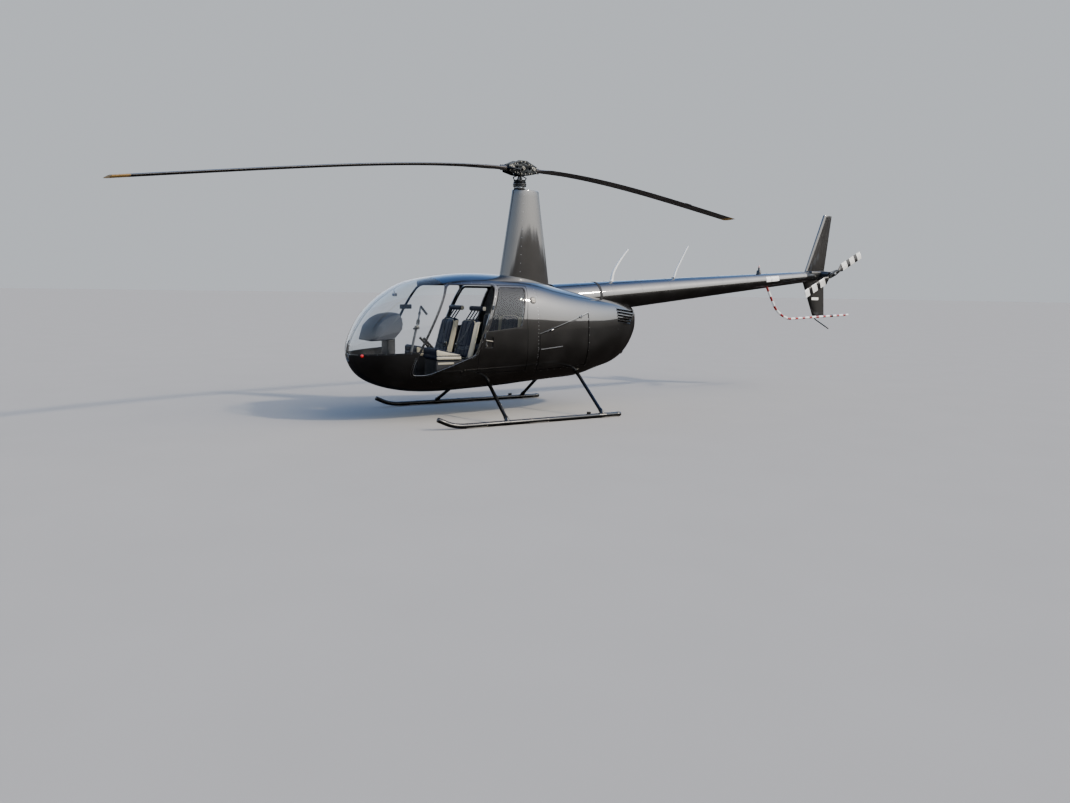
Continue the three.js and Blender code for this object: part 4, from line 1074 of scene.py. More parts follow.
# Rivets, screws and bolts: one tree of nodes sets a head on every point, turned to face outwards
def makeFastenerTree():
    tree = bpy.data.node_groups.new("fasteners", "GeometryNodeTree")
    face = tree.interface
    face.new_socket("Geometry", in_out="INPUT", socket_type="NodeSocketGeometry")
    for name, kind in (("Head radius", "NodeSocketFloat"), ("Head height", "NodeSocketFloat"),
                       ("Hexagonal", "NodeSocketBool"), ("Finish", "NodeSocketMaterial")):
        face.new_socket(name, in_out="INPUT", socket_type=kind)
    face.new_socket("Geometry", in_out="OUTPUT", socket_type="NodeSocketGeometry")
    given = tree.nodes.new("NodeGroupInput")
    dome = addNode(tree, "GeometryNodeMeshUVSphere", {"Segments": 8, "Rings": 5, "Radius": 1.0})
    hexagon = addNode(tree, "GeometryNodeMeshCylinder", {"Vertices": 6, "Radius": 1.0, "Depth": 2.0})
    head = addNode(tree, "GeometryNodeSwitch", {"input_type": "GEOMETRY"}, {
        "Switch": given.outputs["Hexagonal"], "False": dome.outputs[0], "True": hexagon.outputs[0]})
    size = addNode(tree, "ShaderNodeCombineXYZ", None, {
        0: given.outputs["Head radius"], 1: given.outputs["Head radius"], 2: given.outputs["Head height"]})
    facing = addNode(tree, "GeometryNodeInputNamedAttribute", {"data_type": "FLOAT_VECTOR", "Name": "facing"})
    turn = addNode(tree, "FunctionNodeAlignRotationToVector", {"axis": "Z"}, {"Vector": facing.outputs[0]})
    heads = addNode(tree, "GeometryNodeInstanceOnPoints", None, {
        "Points": given.outputs["Geometry"], "Instance": head.outputs[0], "Rotation": turn.outputs[0],
        "Scale": size.outputs[0]})
    whole = addNode(tree, "GeometryNodeRealizeInstances", None, {0: heads.outputs[0]})
    coloured = addNode(tree, "GeometryNodeSetMaterial", None, {
        "Geometry": whole.outputs[0], "Material": given.outputs["Finish"]})
    result = tree.nodes.new("NodeGroupOutput")
    tree.links.new(coloured.outputs[0], result.inputs[0])
    return tree


fastenerTree = makeFastenerTree()
fastenerSocket = {item.name: item.identifier for item in fastenerTree.interface.items_tree
                  if item.in_out == "INPUT"}


def fasteners(name, spots, radius, height, material, hexagonal=False):
    # spots are (point, outward normal) pairs in metres; head sizes in millimetres
    mesh = bpy.data.meshes.new(name)
    mesh.from_pydata([tuple(p) for p, _ in spots], [], [])
    facing = mesh.attributes.new("facing", "FLOAT_VECTOR", "POINT")
    facing.data.foreach_set("vector", [c for _, n in spots for c in n])
    piece = linked(name, mesh)
    modifier = piece.modifiers.new("fasteners", "NODES")
    modifier.node_group = fastenerTree
    modifier[fastenerSocket["Head radius"]] = radius / 1000
    modifier[fastenerSocket["Head height"]] = height / 1000
    modifier[fastenerSocket["Hexagonal"]] = hexagonal
    modifier[fastenerSocket["Finish"]] = material
    bakeModifiers(piece)
    smooth(piece)
    return piece


def paintFaces(piece, material, chosen):
    # chosen takes a face's middle in airframe millimetres and its normal
    piece.data.materials.append(material)
    index = len(piece.data.materials) - 1
    for face in piece.data.polygons:
        middle = (face.center.x * 1000, (face.center.y - mastY) * 1000, face.center.z * 1000)
        if chosen(middle, face.normal):
            face.material_index = index


# Landing gear
def buildCrossTube(which):
    gear = landingGear
    footY, bodyY, bodyZ, _ = gear["crossTubes"][which]
    pieces = [crossTubeSolid(which, 0, looks["tubeEnamel"])]
    for side in sides.values():
        foot = Vector((side * gear["skidX"], footY, gear["skidZ"] + gear["skidRadius"]))
        along = (Vector((side * gear["kneeX"], bodyY, bodyZ)) - foot).normalized()
        pieces.append(tube("sleeve", [mm(*(foot + along * at)) for at, _ in gear["sleeve"]],
                           [r / 1000 for _, r in gear["sleeve"]], looks["tubeEnamel"], 32))
        bolts = [(mm(*(foot + along * at + Vector((0, end * 27, 0)))), Vector((0, end, 0)))
                 for at in (30, 50) for end in (1, -1)]
        pieces.append(fasteners("sleeveBolts", bolts, 6, 4, looks["darkSteel"], True))
    place(joinPieces(f"crossTube_{which}", pieces), "airframe", "satin_black_paint", f"{which}_cross_tube")


def skidTube(x, z, r):
    # The bent tube with its ends rounded off
    gear = landingGear
    corners = [(x, gear["heel"], z), (x, gear["toeStart"], z), (x, *gear["toe"])]
    path = roundedPath([mm(*corner) for corner in corners], gear["toeBend"] / 1000, 12)
    heel, toe = (path[0] - path[1]).normalized(), (path[-1] - path[-2]).normalized()
    cap, capStart = gear["cap"] / 1000, gear["capStart"] / 1000
    path = [path[0] - heel * cap] + path[1:-1] + [path[-1] - toe * cap]
    capped = [path[0] + heel * cap, path[0] + heel * capStart] + path
    capped += [path[-1] + toe * capStart, path[-1] + toe * cap]
    ends = [r * share / 1000 for share in gear["capRadii"]]
    return tube("skid", capped, ends + [r / 1000] * len(path) + ends[::-1], looks["tubeEnamel"], 32)


def buildLandingGear():
    gear, tubeLook = landingGear, looks["tubeEnamel"]
    for which in gear["crossTubes"]:
        buildCrossTube(which)
    for name, side in sides.items():
        x, z, r = side * gear["skidX"], gear["skidZ"], gear["skidRadius"]
        pieces = [skidTube(x, z, r)]
        for footY, *_ in gear["crossTubes"].values():
            for half, proud in gear["saddles"]:
                pieces.append(roundBar("saddle", (x, footY - half, z), (x, footY + half, z), r + proud,
                                       tubeLook, 40))
            pieces.append(roundBar("socket", (x, footY, z + r - 14), (x - side * 16, footY + 2, z + r + 20),
                                   gear["socket"][0], tubeLook, 32, gear["socket"][1]))
            bolts = [(mm(x + end * 33, footY + at, z), Vector((end, 0, 0))) for at in (-42, 42)
                     for end in (-1, 1)]
            pieces.append(fasteners("saddleBolts", bolts, 6, 5, looks["darkSteel"], True))
        for fromY, toY in gear["shoes"]:
            pieces.append(block("shoe", mm(x - gear["shoeHalf"], fromY, 0),
                                mm(x + gear["shoeHalf"], toY, gear["shoeTop"]), 0.002, looks["wornSteel"]))
            for y in (fromY + 25, toY - 25):
                pieces.append(roundBar("strap", (x, y - 10, z), (x, y + 10, z), r + 1.5, tubeLook, 40))
        pieces.append(block("lug", mm(x - 14, gear["lugY"] - 24, z),
                            mm(x + 14, gear["lugY"] + 24, gear["lugTop"]), 0.003, tubeLook))
        place(joinPieces(f"skidTube_{name}", pieces), "airframe", "satin_black_paint", f"skid_{name}")
    print("landing gear built")


# Mast, its fairing and the tail cone
fairing = {
    "baseZ": 1700, "topZ": 2920, "baseFront": -303, "baseAft": 469, "topFront": -108, "topAft": 292,
    "baseHalf": 135, "topHalf": 95, "fullness": 1.742, "footZ": 1640, "count": 112,
    "noseScrews": (1860, 2880, 110), "noseScrewAt": 22,  # heights, place round the ring
    "capScrewsDown": 22, "capScrewEvery": 10,
    "boot": [(0, 82), (6, 84), (12, 80), (20, 68), (28, 64)],  # rubber, closes the top round the mast
}


def fairingRing(z, inset=0.0):
    t = (z - fairing["baseZ"]) / (fairing["topZ"] - fairing["baseZ"])
    mix = lambda end: fairing["base" + end] + t * (fairing["top" + end] - fairing["base" + end])
    front, aft, half = mix("Front") + inset, mix("Aft") - inset * 1.5, mix("Half") - inset
    angle = 2 * np.pi * np.arange(fairing["count"]) / fairing["count"]
    along = 0.5 - 0.5 * np.cos(angle)
    taper = np.sqrt(np.maximum(along, 0)) * (1 - along) ** 0.62
    width = half * fairing["fullness"] * np.sign(np.sin(angle)) * taper
    return [mm(x, front + a * (aft - front), z) for x, a in zip(width, along)]


def buildFairing():
    top, count = fairing["topZ"], fairing["count"]
    levels = [(z, 0.0) for z in np.linspace(fairing["footZ"], top - 14, 22)]
    levels += [(top - 8, 1.0), (top - 3, 3.0), (top, 8.0)]
    pieces = [loft("shell", [fairingRing(z, inset) for z, inset in levels], looks["fairingEnamel"])]
    screws = []
    for z in np.arange(*fairing["noseScrews"]):
        ring = fairingRing(z)
        for k in (fairing["noseScrewAt"], count - fairing["noseScrewAt"]):
            screws.append((ring[k], Vector((math.copysign(1, ring[k].x), -0.3, 0)).normalized()))
    capZ = top - fairing["capScrewsDown"]
    ring = fairingRing(capZ)
    for k in range(6, count, fairing["capScrewEvery"]):
        screws.append((ring[k], (ring[k] - mm(0, 60, capZ)).normalized()))
    pieces.append(fasteners("fairingScrews", screws, 5, 1.4, looks["screwSteel"]))
    pieces.append(turned("boot", fairing["boot"], (0, 0, top - 4), (0, 0, 1), looks["rubber"]))
    place(joinPieces("fairingShell", pieces), "airframe", "satin_black_paint", "mast_fairing")


boom = {
    "rivetRings": [905, 1430, 1960, 2490, 3020, 3550, 4080, 4610, 5140, 5420], "rivetsRound": 44,
    "ringOffset": 9, "jointWidth": 34,
    "seamAngles": [62, 118, 242, 298], "seam": (1950, 5400, 60),
    "strapY": 1207, "strapWidth": 42, "placard": (4500, 4790, 1820, 1900),
    "studYs": [1096, 1413], "studAngle": 100, "stud": [(-4, 9), (6, 9), (9, 6), (10, 0.1)],
}


def onBoom(y, degrees, lift=0.0):
    # A point of the tail cone; 0 degrees is its left side and 90 its top
    r, z = conePoint(y)
    angle = math.radians(degrees)
    out = Vector((math.cos(angle), 0, math.sin(angle)))
    return mm((r + lift) * out.x, y, z + (r + lift) * out.z), out


def hoop(name, y, lift, width, thick, material, sink, count):
    # A band round the tail cone
    spots = [onBoom(y, a, lift) for a in np.linspace(0, 360, count, endpoint=False)]
    return ribbon(name, [p for p, _ in spots], [n for _, n in spots], width, thick, material, True, sink)


def buildBoom():
    pieces = [coneSolid("skin", 0, looks["enamel"], count=128)]
    rivets = []
    for y in boom["rivetRings"]:
        for offset in (-boom["ringOffset"], boom["ringOffset"]):
            rivets += [onBoom(y + offset, a) for a in np.linspace(0, 360, boom["rivetsRound"], endpoint=False)]
        pieces.append(hoop("joint", y, 0.0, boom["jointWidth"], 0.7, looks["enamel"], 2, 72))
    for angle in boom["seamAngles"]:
        rivets += [onBoom(y, angle) for y in np.arange(*boom["seam"])]
    pieces.append(fasteners("boomRivets", rivets, 2.6, 1.2, looks["enamel"]))
    pieces.append(hoop("strap", boom["strapY"], 0.3, boom["strapWidth"], 2.5, looks["rubber"], 1, 96))
    for y in boom["studYs"]:
        point, out = onBoom(y, boom["studAngle"])
        pieces.append(spun("drainStud", boom["stud"], point, out, looks["wornSteel"], 24))
    fromY, toY, lowZ, highZ = boom["placard"]
    r, z = conePoint((fromY + toY) / 2)
    low, high = (math.degrees(math.asin(max(-1, min(1, (h - z) / r)))) for h in (lowZ, highZ))
    pieces.append(boomPlate("placard", fromY, toY, low, high, looks["whiteSatin"]))
    place(joinPieces("tailConeSkin", pieces), "airframe", "black_paint", "tail_cone")
    print("fairing and tail cone built")


def boomPlate(name, fromY, toY, lowAngle, highAngle, material, thick=0.8):
    # A blank plate that follows the tail cone's side
    angles = np.linspace(lowAngle, highAngle, 9)
    ys = np.linspace(fromY, toY, 7)
    outer = [onBoom(y, a, thick)[0] for y in ys for a in angles]
    inner = [onBoom(y, a, -1.5)[0] for y in ys for a in angles]
    return gridPlate(name, outer, inner, len(ys), len(angles), material)


def gridPlate(name, outer, inner, rows, columns, material):
    # A closed plate from two grids of points, outer face and inner face
    count = rows * columns
    faces = []
    for i in range(rows - 1):
        for j in range(columns - 1):
            a = i * columns + j
            faces.append((a, a + 1, a + columns + 1, a + columns))
            faces.append((count + a, count + a + columns, count + a + columns + 1, count + a + 1))
    rim = [j for j in range(columns)] + [i * columns + columns - 1 for i in range(1, rows)]
    rim += [(rows - 1) * columns + j for j in range(columns - 2, -1, -1)]
    rim += [i * columns for i in range(rows - 2, 0, -1)]
    for a, b in zip(rim, rim[1:] + rim[:1]):
        faces.append((b, a, count + a, count + b))
    return closedSkin(name, outer + inner, faces, material)


# Main rotor
rotor = {"hingeZ": 3182, "azimuth": 14.5, "teeter": 2, "droop": 455, "radius": 5030,
         "shaftRadius": 28, "shaftFoot": 900}
spinFrame = (Matrix.Translation(mm(0, 0, rotor["hingeZ"]))
             @ Matrix.Rotation(math.radians(rotor["azimuth"] - 90), 4, "Z"))
teeterFrame = spinFrame @ Matrix.Rotation(math.radians(rotor["teeter"]), 4, "Y")
hub = {
    "half": 250, "plateGap": 46, "plateThick": 20, "low": 80,
    "outline": [(-250, -46), (-85, -80), (85, -80), (250, -46), (250, 42), (150, 78), (72, 108), (-72, 108),
                (-150, 78), (-250, 42)],
    "coningBolts": [-190, 190],
    "lightening": [(-115, 8, 20), (115, 8, 20), (-62, 66, 13), (62, 66, 13), (-62, -48, 13), (62, -48, 13),
                   (0, 84, 11), (-152, 12, 9), (152, 12, 9), (-225, -2, 9), (225, -2, 9)],
    # half profiles of (distance out, radius)
    "teeterBolt": [(64, 30), (69, 27), (70, 15), (84, 15), (84, 0.1)],
    "coningBolt": [(66, 31), (67, 27), (73, 23), (74, 14), (80, 13), (80, 0.1)],
    "boltZ": 8,
    "plateNuts": [(35, 92), (105, 60), (105, -52), (35, -62), (238, 26), (238, -30), (150, 60), (150, -50)],
}
blade = {
    # distance from the mast, chord, thickness, how far the nose lies ahead of the pitch axis
    "rows": [(264, 84, 66, 42), (300, 120, 60, 46), (350, 180, 48, 54), (430, 254, 36, 66), (900, 254, 31, 66),
             (5018, 254, 28, 66)],
    "tip": (5018, 5030), "stations": 90, "foilPoints": 29, "tipPaint": 4850,
    "noseStrip": 26, "noseStripFrom": 620,
    "doublers": [((430, 620), 2.2), ((430, 790), 1.1)],  # from and to, how far proud
    "rootBolts": [285, 315, 345],
    "tab": {"from": 3500, "to": 3650, "front": -188, "aft": -214, "thick": 1.6},
    "bootPleats": 7, "bootPitch": 17,
    "horn": [(262, 36, -4), (250, 84, -6), (205, 108, -10), (140, 113, -16), (105, 112, -22)],
}
swashplate = {"lowZ": 2952, "highZ": 3004, "radius": 90, "turningZ": 3010, "turningThick": 34,
              "turningRadius": 84}
links = {"foot": (40, 70), "head": (105, 112), "low": 20, "high": 150,
         "scissor": [(-60, 30, 24), (-88, 34, 66), (-30, 4, 92)]}


def foilHalf(x):
    # Half thickness of a symmetric section of unit thickness, at a share of its chord
    return 5 * (0.2969 * np.sqrt(x) - 0.126 * x - 0.3516 * x ** 2 + 0.2843 * x ** 3 - 0.1036 * x ** 4)


def airfoil(count):
    # Closed outline of unit chord and unit thickness, nose at 0: (along, height) pairs
    x = 0.5 - 0.5 * np.cos(np.linspace(0, np.pi, count))
    upper = list(zip(x, foilHalf(x)))
    return upper + [(a, -h) for a, h in reversed(upper[1:-1])]


def bladeSag(r):
    length = rotor["radius"] - hub["half"]
    x = max(0, r - hub["half"])
    return rotor["droop"] * x ** 2 * (6 * length ** 2 - 4 * length * x + x ** 2) / (3 * length ** 4)


def bladeRing(r, grow=0.0, inset=0.0):
    table = np.array(blade["rows"], float)
    chord, thick, ahead = (np.interp(r, table[:, 0], table[:, k]) for k in (1, 2, 3))
    rootBlend = max(0.0, min(1.0, (r - blade["rows"][0][0]) / 120))
    ring = []
    for i, (along, height) in enumerate(airfoil(blade["foilPoints"])):
        count = 2 * (blade["foilPoints"] - 1)
        angle = 2 * math.pi * i / count
        foil = (ahead + grow - along * (chord + 2 * grow), height * (thick + 2 * grow))
        round_ = (chord / 2 * math.cos(angle), thick / 2 * math.sin(angle))
        y, z = (rootBlend * f + (1 - rootBlend) * c for f, c in zip(foil, round_))
        ring.append((y * (1 - inset), z * (1 - inset)))
    sag = bladeSag(r)
    return [metres(r, y, z - sag) for y, z in ring]


def bladeSkin():
    start, end = blade["rows"][0][0], blade["tip"][0]
    stations = list(np.linspace(start, 430, 12)) + list(np.linspace(480, end, blade["stations"]))
    rings = [bladeRing(r) for r in stations]
    rings += [bladeRing(end + 8, 0, 0.05), bladeRing(blade["tip"][1], 0, 0.22)]
    skin = loft("skin", rings, looks["bladePaint"])
    skin.data.materials.append(looks["tipPaint"])
    skin.data.materials.append(looks["noseSteel"])
    nose = blade["rows"][-1][3] - blade["noseStrip"]
    for face in skin.data.polygons:
        if face.center.x > blade["tipPaint"] / 1000:
            face.material_index = 1
        elif face.center.x > blade["noseStripFrom"] / 1000 and face.center.y > nose / 1000:
            face.material_index = 2
    return skin


def trimTab():
    tab = blade["tab"]
    corners = [(tab["from"], tab["front"], 1), (tab["to"], tab["front"], 1), (tab["to"], tab["aft"], 0.6),
               (tab["from"], tab["aft"], 0.6)]
    ring = [metres(r, y, h - bladeSag(r)) for r, y, h in corners]
    under = [p - metres(0, 0, tab["thick"]) for p in ring]
    return addMesh("tab", ring + under, prismFaces(4), looks["aluminium"])


def buildBlade(name, turn):
    pieces = [bladeSkin()]
    for (fromR, toR), proud in blade["doublers"]:
        rings = [bladeRing(r, proud) for r in (fromR, toR - 30, toR)]
        pieces.append(loft("doubler", rings, looks["bladePaint"]))
    bolts = [(metres(r, 8, side * 30 - bladeSag(r)), Vector((0, 0, side)))
             for r in blade["rootBolts"] for side in (1, -1)]
    pieces.append(fasteners("rootBolts", bolts, 9, 6, looks["darkSteel"], True))
    pieces.append(trimTab())
    # pleated boot over the spindle, and the pitch horn
    profile = [(112, 10), (114, 36)]
    for i in range(blade["bootPleats"]):
        at = 118 + i * blade["bootPitch"]
        profile += [(at, 38), (at + 4, 43.5), (at + 9, 43.5), (at + 13, 38)]
    profile += [(238, 38), (240, 44), (262, 44), (266, 40), (272, 12)]
    pieces.append(spun("boot", profile, (0, 0, 0), (1, 0, 0), looks["rubber"]))
    horn = roundedPath([metres(*p) for p in blade["horn"]], 0.03, 5)
    pieces.append(tube("pitchHorn", horn, 0.012, looks["darkSteel"], 20))
    whole = joinPieces(name, pieces)
    whole.data.transform(teeterFrame @ Matrix.Rotation(turn, 4, "Z"))
    smooth(whole)
    return whole


def mirrored(profile):
    return [(-along, radius) for along, radius in reversed(profile)] + profile


def buildHub():
    gap, thick, boltZ = hub["plateGap"], hub["plateThick"], hub["boltZ"]
    plates = [plate("plate", hub["outline"], thick, teeterFrame @ Matrix.Translation((0, y / 1000, 0)),
                    looks["hubSteel"], 2.0, hub["lightening"]) for y in (-gap - thick, gap)]
    inner = [block("web", metres(-62, -gap - 1, -72), metres(62, gap + 1, 60), 0.006, looks["darkSteel"])]
    inner.append(spun("teeterBolt", mirrored(hub["teeterBolt"]), metres(0, 0, boltZ), (0, 1, 0),
                      looks["boltSteel"], 40))
    for x in hub["coningBolts"]:
        inner.append(spun("coningBolt", mirrored(hub["coningBolt"]), metres(x, 0, boltZ), (0, 1, 0),
                          looks["boltSteel"], 40))
    big = [(metres(x, side * 76, boltZ), Vector((0, side, 0))) for x in [0] + hub["coningBolts"]
           for side in (1, -1)]
    inner.append(fasteners("bigNuts", big, 22, 8, looks["boltSteel"], True))
    small = [(metres(x, side * (gap + thick + 1), z), Vector((0, side, 0))) for out, z in hub["plateNuts"]
             for x in (-out, out) for side in (1, -1)]
    inner.append(fasteners("smallNuts", small, 9, 4, looks["boltSteel"], True))
    for x in (-36, 36):
        inner.append(block("stop", metres(x - 16, -gap, 60), metres(x + 16, gap, 100), 0.004,
                           looks["aluminium"]))
    inside = joinPieces("inside", inner)
    inside.data.transform(teeterFrame)
    return joinPieces("rotorHubPlates", plates + [inside])


def buildShaft():
    base = swashplate["turningZ"] - rotor["hingeZ"]
    r, t, shaftR = swashplate["turningRadius"], swashplate["turningThick"], rotor["shaftRadius"]
    ring = [(0, 34), (0, r - 6), (3, r), (10, r), (12, r - 10), (t - 12, r - 10), (t - 10, r - 2),
            (t - 4, r - 2), (t, r - 10), (t, 46), (t + 8, 44), (t + 10, 34)]
    pieces = [spun("turningRing", ring, metres(0, 0, base), (0, 0, 1), looks["darkSteel"], 64)]
    shaft = [(-rotor["shaftFoot"], shaftR), (base + t + 14, shaftR), (base + t + 16, 36), (base + t + 34, 36),
             (base + t + 36, shaftR), (-hub["low"] - 1.4, shaftR)]
    pieces.append(spun("shaft", shaft, (0, 0, 0), (0, 0, 1), looks["steel"]))
    for side in (1, -1):
        foot = metres(side * links["foot"][0], side * links["foot"][1], base + links["low"])
        head = metres(side * links["head"][0], side * links["head"][1], base + links["high"])
        length = (head - foot).length * 1000
        rod = [(-10, 2), (-8, 12), (0, 14), (8, 12), (12, 6), (22, 6), (24, 9), (length - 24, 9),
               (length - 22, 6), (length - 12, 6), (length - 8, 12), (length, 14), (length + 8, 12),
               (length + 10, 2)]
        pieces.append(spun("link", rod, foot, (head - foot).normalized(), looks["boltSteel"], 24))
        ear = metres(side * 58, side * 58, base + 14)
        pieces.append(block("ear", ear - metres(16, 16, 12), ear + metres(16, 16, 16), 0.003,
                            looks["darkSteel"]))
        scissor = [metres(side * x, side * y, base + z) for x, y, z in links["scissor"]]
        for ends in (scissor[:2], scissor[1:]):
            pieces.append(tube("scissor", ends, 0.007, looks["darkSteel"], 16))
    studs = [(metres(math.cos(a) * (r - 16), math.sin(a) * (r - 16), base + t + 2), Vector((0, 0, 1)))
             for a in around(10)]
    pieces.append(fasteners("ringNuts", studs, 6, 4, looks["boltSteel"], True))
    whole = joinPieces("rotorShaft", pieces)
    whole.data.transform(spinFrame)
    return whole


def buildMastTube():
    low, high, r = swashplate["lowZ"], swashplate["highZ"], swashplate["radius"]
    profile = [(1560, 30), (1560, 60), (2958, 60)]
    profile += [(low + 8, r - 12), (low + 12, r - 2), (low + 22, r - 2), (low + 24, r - 14), (low + 30, r - 14),
                (low + 32, r), (high - 4, r), (high, r - 6), (high, 30)]
    pieces = [turned("tube", profile, (0, 0, 0), (0, 0, 1), looks["aluminium"], 64)]
    paintFaces(pieces[0], looks["satin"], lambda middle, normal: low + 6 < middle[2] < high - 3)
    for degrees in (20, 140, 260):
        a = math.radians(degrees)
        foot = (math.cos(a) * 72, math.sin(a) * 72, 2918)
        pieces.append(roundBar("pushRod", foot, (math.cos(a) * 76, math.sin(a) * 76, low + 16), 7,
                               looks["boltSteel"], 20))
    place(joinPieces("mastTube", pieces), "airframe", "aluminium", "mast_tube")


def buildMainRotor():
    buildMastTube()
    place(buildShaft(), "main_rotor", "steel", "rotor_shaft")
    place(buildHub(), "main_rotor", "steel", "rotor_hub")
    for name, turn in (("a", 0.0), ("b", math.pi)):
        place(buildBlade(f"mainBlade_{name}", turn), "main_rotor", "blade_paint", f"main_blade_{name}")
    print("main rotor built")


# Tail
tail = {
    "hub": (280, 5880, 1962), "bladeAngle": 26, "shaftIn": 130, "shaftOut": 45,
    # distance from the hub, chord, thickness
    "bladeRows": [(131, 50, 34), (170, 84, 27), (210, 130, 20), (730, 130, 15)],
    "bladeTip": 737, "bladeNose": 0.35,
    # outer ends of the bands from the hub out, and whether each is white
    "bands": [(238, False), (362, True), (442, False), (556, True), (635, False), (740, True)],
    "finX": -128, "finThick": 48,
    "upperFin": [(1956, 5625, 6122), (2967, 6033, 6244)],
    "lowerFin": [(1258, 5903, 6192), (1912, 5570, 6131)],
    "stabilizerZ": 1934, "stabilizerThick": 44, "stabilizer": [(-94, 5620, 6050), (-1000, 5670, 6020)],
    "finPlate": (5835, 6000, 1528, 1572), "sparRows": (0.18, 0.42, 0.72),
}
tailFrame = (Matrix.Translation(mm(*tail["hub"]))
             @ Matrix.Rotation(math.radians(tail["bladeAngle"]), 4, "X"))


def tailBladeRing(r, side, inset=0.0):
    table = np.array(tail["bladeRows"], float)
    chord, thick = (np.interp(r, table[:, 0], table[:, k]) for k in (1, 2))
    middle = 0.5 - tail["bladeNose"]
    return [metres(h * thick * (1 - inset), side * r, side * chord * ((a - 0.5) * (1 - inset) + middle))
            for a, h in airfoil(21)]


def buildTailBlade(name, side):
    edges = [end for end, _ in tail["bands"][:-1]]
    stations = sorted(set([131, 150, 170, 190, 210] + edges + list(range(260, 731, 40)) + [730]))
    rings = [tailBladeRing(r, side) for r in stations]
    rings += [tailBladeRing(734, side, 0.06), tailBladeRing(tail["bladeTip"], side, 0.2)]
    skin = loft("skin", rings, looks["white"])
    skin.data.materials.append(looks["bandBlack"])
    for face in skin.data.polygons:
        r = abs(face.center.y) * 1000
        white = next(isWhite for end, isWhite in tail["bands"] if r < end)
        face.material_index = 0 if white else 1
    bolts = [(metres(x * 12, side * r, side * 8), Vector((x, 0, 0))) for r in (150, 182) for x in (1, -1)]
    whole = joinPieces(name, [skin, fasteners("rootBolts", bolts, 7, 6, looks["boltSteel"], True)])
    whole.data.transform(tailFrame)
    return whole


tailHub = {
    "yoke": [(-130, -22), (-40, -30), (40, -30), (130, -22), (130, 22), (40, 30), (-40, 30), (-130, 22)],
    "yokeX": (-24, 14), "yokeThick": 10, "holes": [(-70, 0, 9), (70, 0, 9)],
    "shaft": [(-tail["shaftIn"], 20), (-44, 20), (-42, 30), (-30, 30), (-28, 20), (26, 20), (28, 26), (38, 26),
              (40, 15), (tail["shaftOut"], 14)],
    "bearing": [(60, 8), (62, 13), (118, 13), (120, 10), (130, 9)],
    "crosshead": [(-84, 22), (-82, 32), (-60, 32), (-58, 22)],
    "nuts": [(x, y) for x in (-26, 26) for y in (-112, -30, 30, 112)],
}


def buildTailRotor():
    origin = (0, 0, 0)
    pieces = [spun("shaft", tailHub["shaft"], origin, (1, 0, 0), looks["steel"], 40)]
    swing = Matrix.Rotation(math.radians(90), 4, "Z")
    for x in tailHub["yokeX"]:
        seat = Matrix.Translation((x / 1000 + 0.010, 0, 0)) @ swing
        pieces.append(plate("yoke", tailHub["yoke"], tailHub["yokeThick"], seat, looks["hubSteel"], 1.5,
                            tailHub["holes"]))
    pieces.append(block("centre", metres(-14, -34, -26), metres(14, 34, 26), 0.004, looks["darkSteel"]))
    for side in (1, -1):
        pieces.append(spun("bearing", tailHub["bearing"], origin, (0, side, 0), looks["boltSteel"], 28))
        pieces.append(tube("pitchLink", [metres(-70, side * 24, side * 30), metres(-14, side * 118, side * 26)],
                           0.005, looks["boltSteel"], 14))
    nuts = [(metres(x, y, 0), Vector((math.copysign(1, x), 0, 0))) for x, y in tailHub["nuts"]]
    pieces.append(fasteners("yokeNuts", nuts, 7, 5, looks["boltSteel"], True))
    pieces.append(spun("crosshead", tailHub["crosshead"], origin, (1, 0, 0), looks["darkSteel"], 36))
    whole = joinPieces("tailRotorHub", pieces)
    whole.data.transform(tailFrame)
    place(whole, "tail_rotor", "steel", "tail_rotor_hub")
    for name, side in (("a", 1), ("b", -1)):
        place(buildTailBlade(f"tailBlade_{name}", side), "tail_rotor", "white_paint", f"tail_blade_{name}")
    print("tail rotor built")


def chordAt(rows, at):
    # Leading and trailing y of a fin between its end rows of (place, leading y, trailing y)
    (start, nose0, tail0), (end, nose1, tail1) = rows
    t = (at - start) / (end - start)
    return nose0 + t * (nose1 - nose0), tail0 + t * (tail1 - tail0)


def finRing(rows, z, inset=0.0):
    nose, end = chordAt(rows, z)
    return [mm(tail["finX"] + h * tail["finThick"] * (1 - inset),
               (nose + end) / 2 + (a - 0.5) * (end - nose) * (1 - inset), z) for a, h in airfoil(25)]


def finSurface(rows, z, share, side):
    nose, end = chordAt(rows, z)
    point = mm(tail["finX"] + side * foilHalf(share) * tail["finThick"], nose + share * (end - nose), z)
    return point, Vector((side, 0, 0))


def buildFin(name, rows, node):
    low, high = rows[0][0], rows[1][0]
    levels = [(low, 0.10), (low + 3, 0.03), (low + 8, 0.0)]
    levels += [(z, 0.0) for z in np.linspace(low + 40, high - 40, 8)]
    levels += [(high - 8, 0.0), (high - 3, 0.03), (high, 0.10)]
    pieces = [loft("skin", [finRing(rows, z, inset) for z, inset in levels], looks["finEnamel"])]
    rivets = []
    for side in (1, -1):
        for share in tail["sparRows"]:
            rivets += [finSurface(rows, z, share, side) for z in np.arange(low + 30, high - 20, 38)]
        for z in (low + 26, (low + high) / 2, high - 26):
            rivets += [finSurface(rows, z, share, side) for share in np.arange(0.22, 0.9, 0.08)]
    pieces.append(fasteners("finRivets", rivets, 2.6, 1.0, looks["finEnamel"]))
    if name == "lowerFin":
        fromY, toY, lowZ, highZ = tail["finPlate"]
        surface = tail["finX"] + tail["finThick"] / 2 - 1
        pieces.append(block("plate", mm(surface - 3, fromY, lowZ), mm(surface + 1.5, toY, highZ), 0.0006,
                            looks["whiteSatin"]))
    place(joinPieces(name, pieces), "airframe", "black_paint", node)


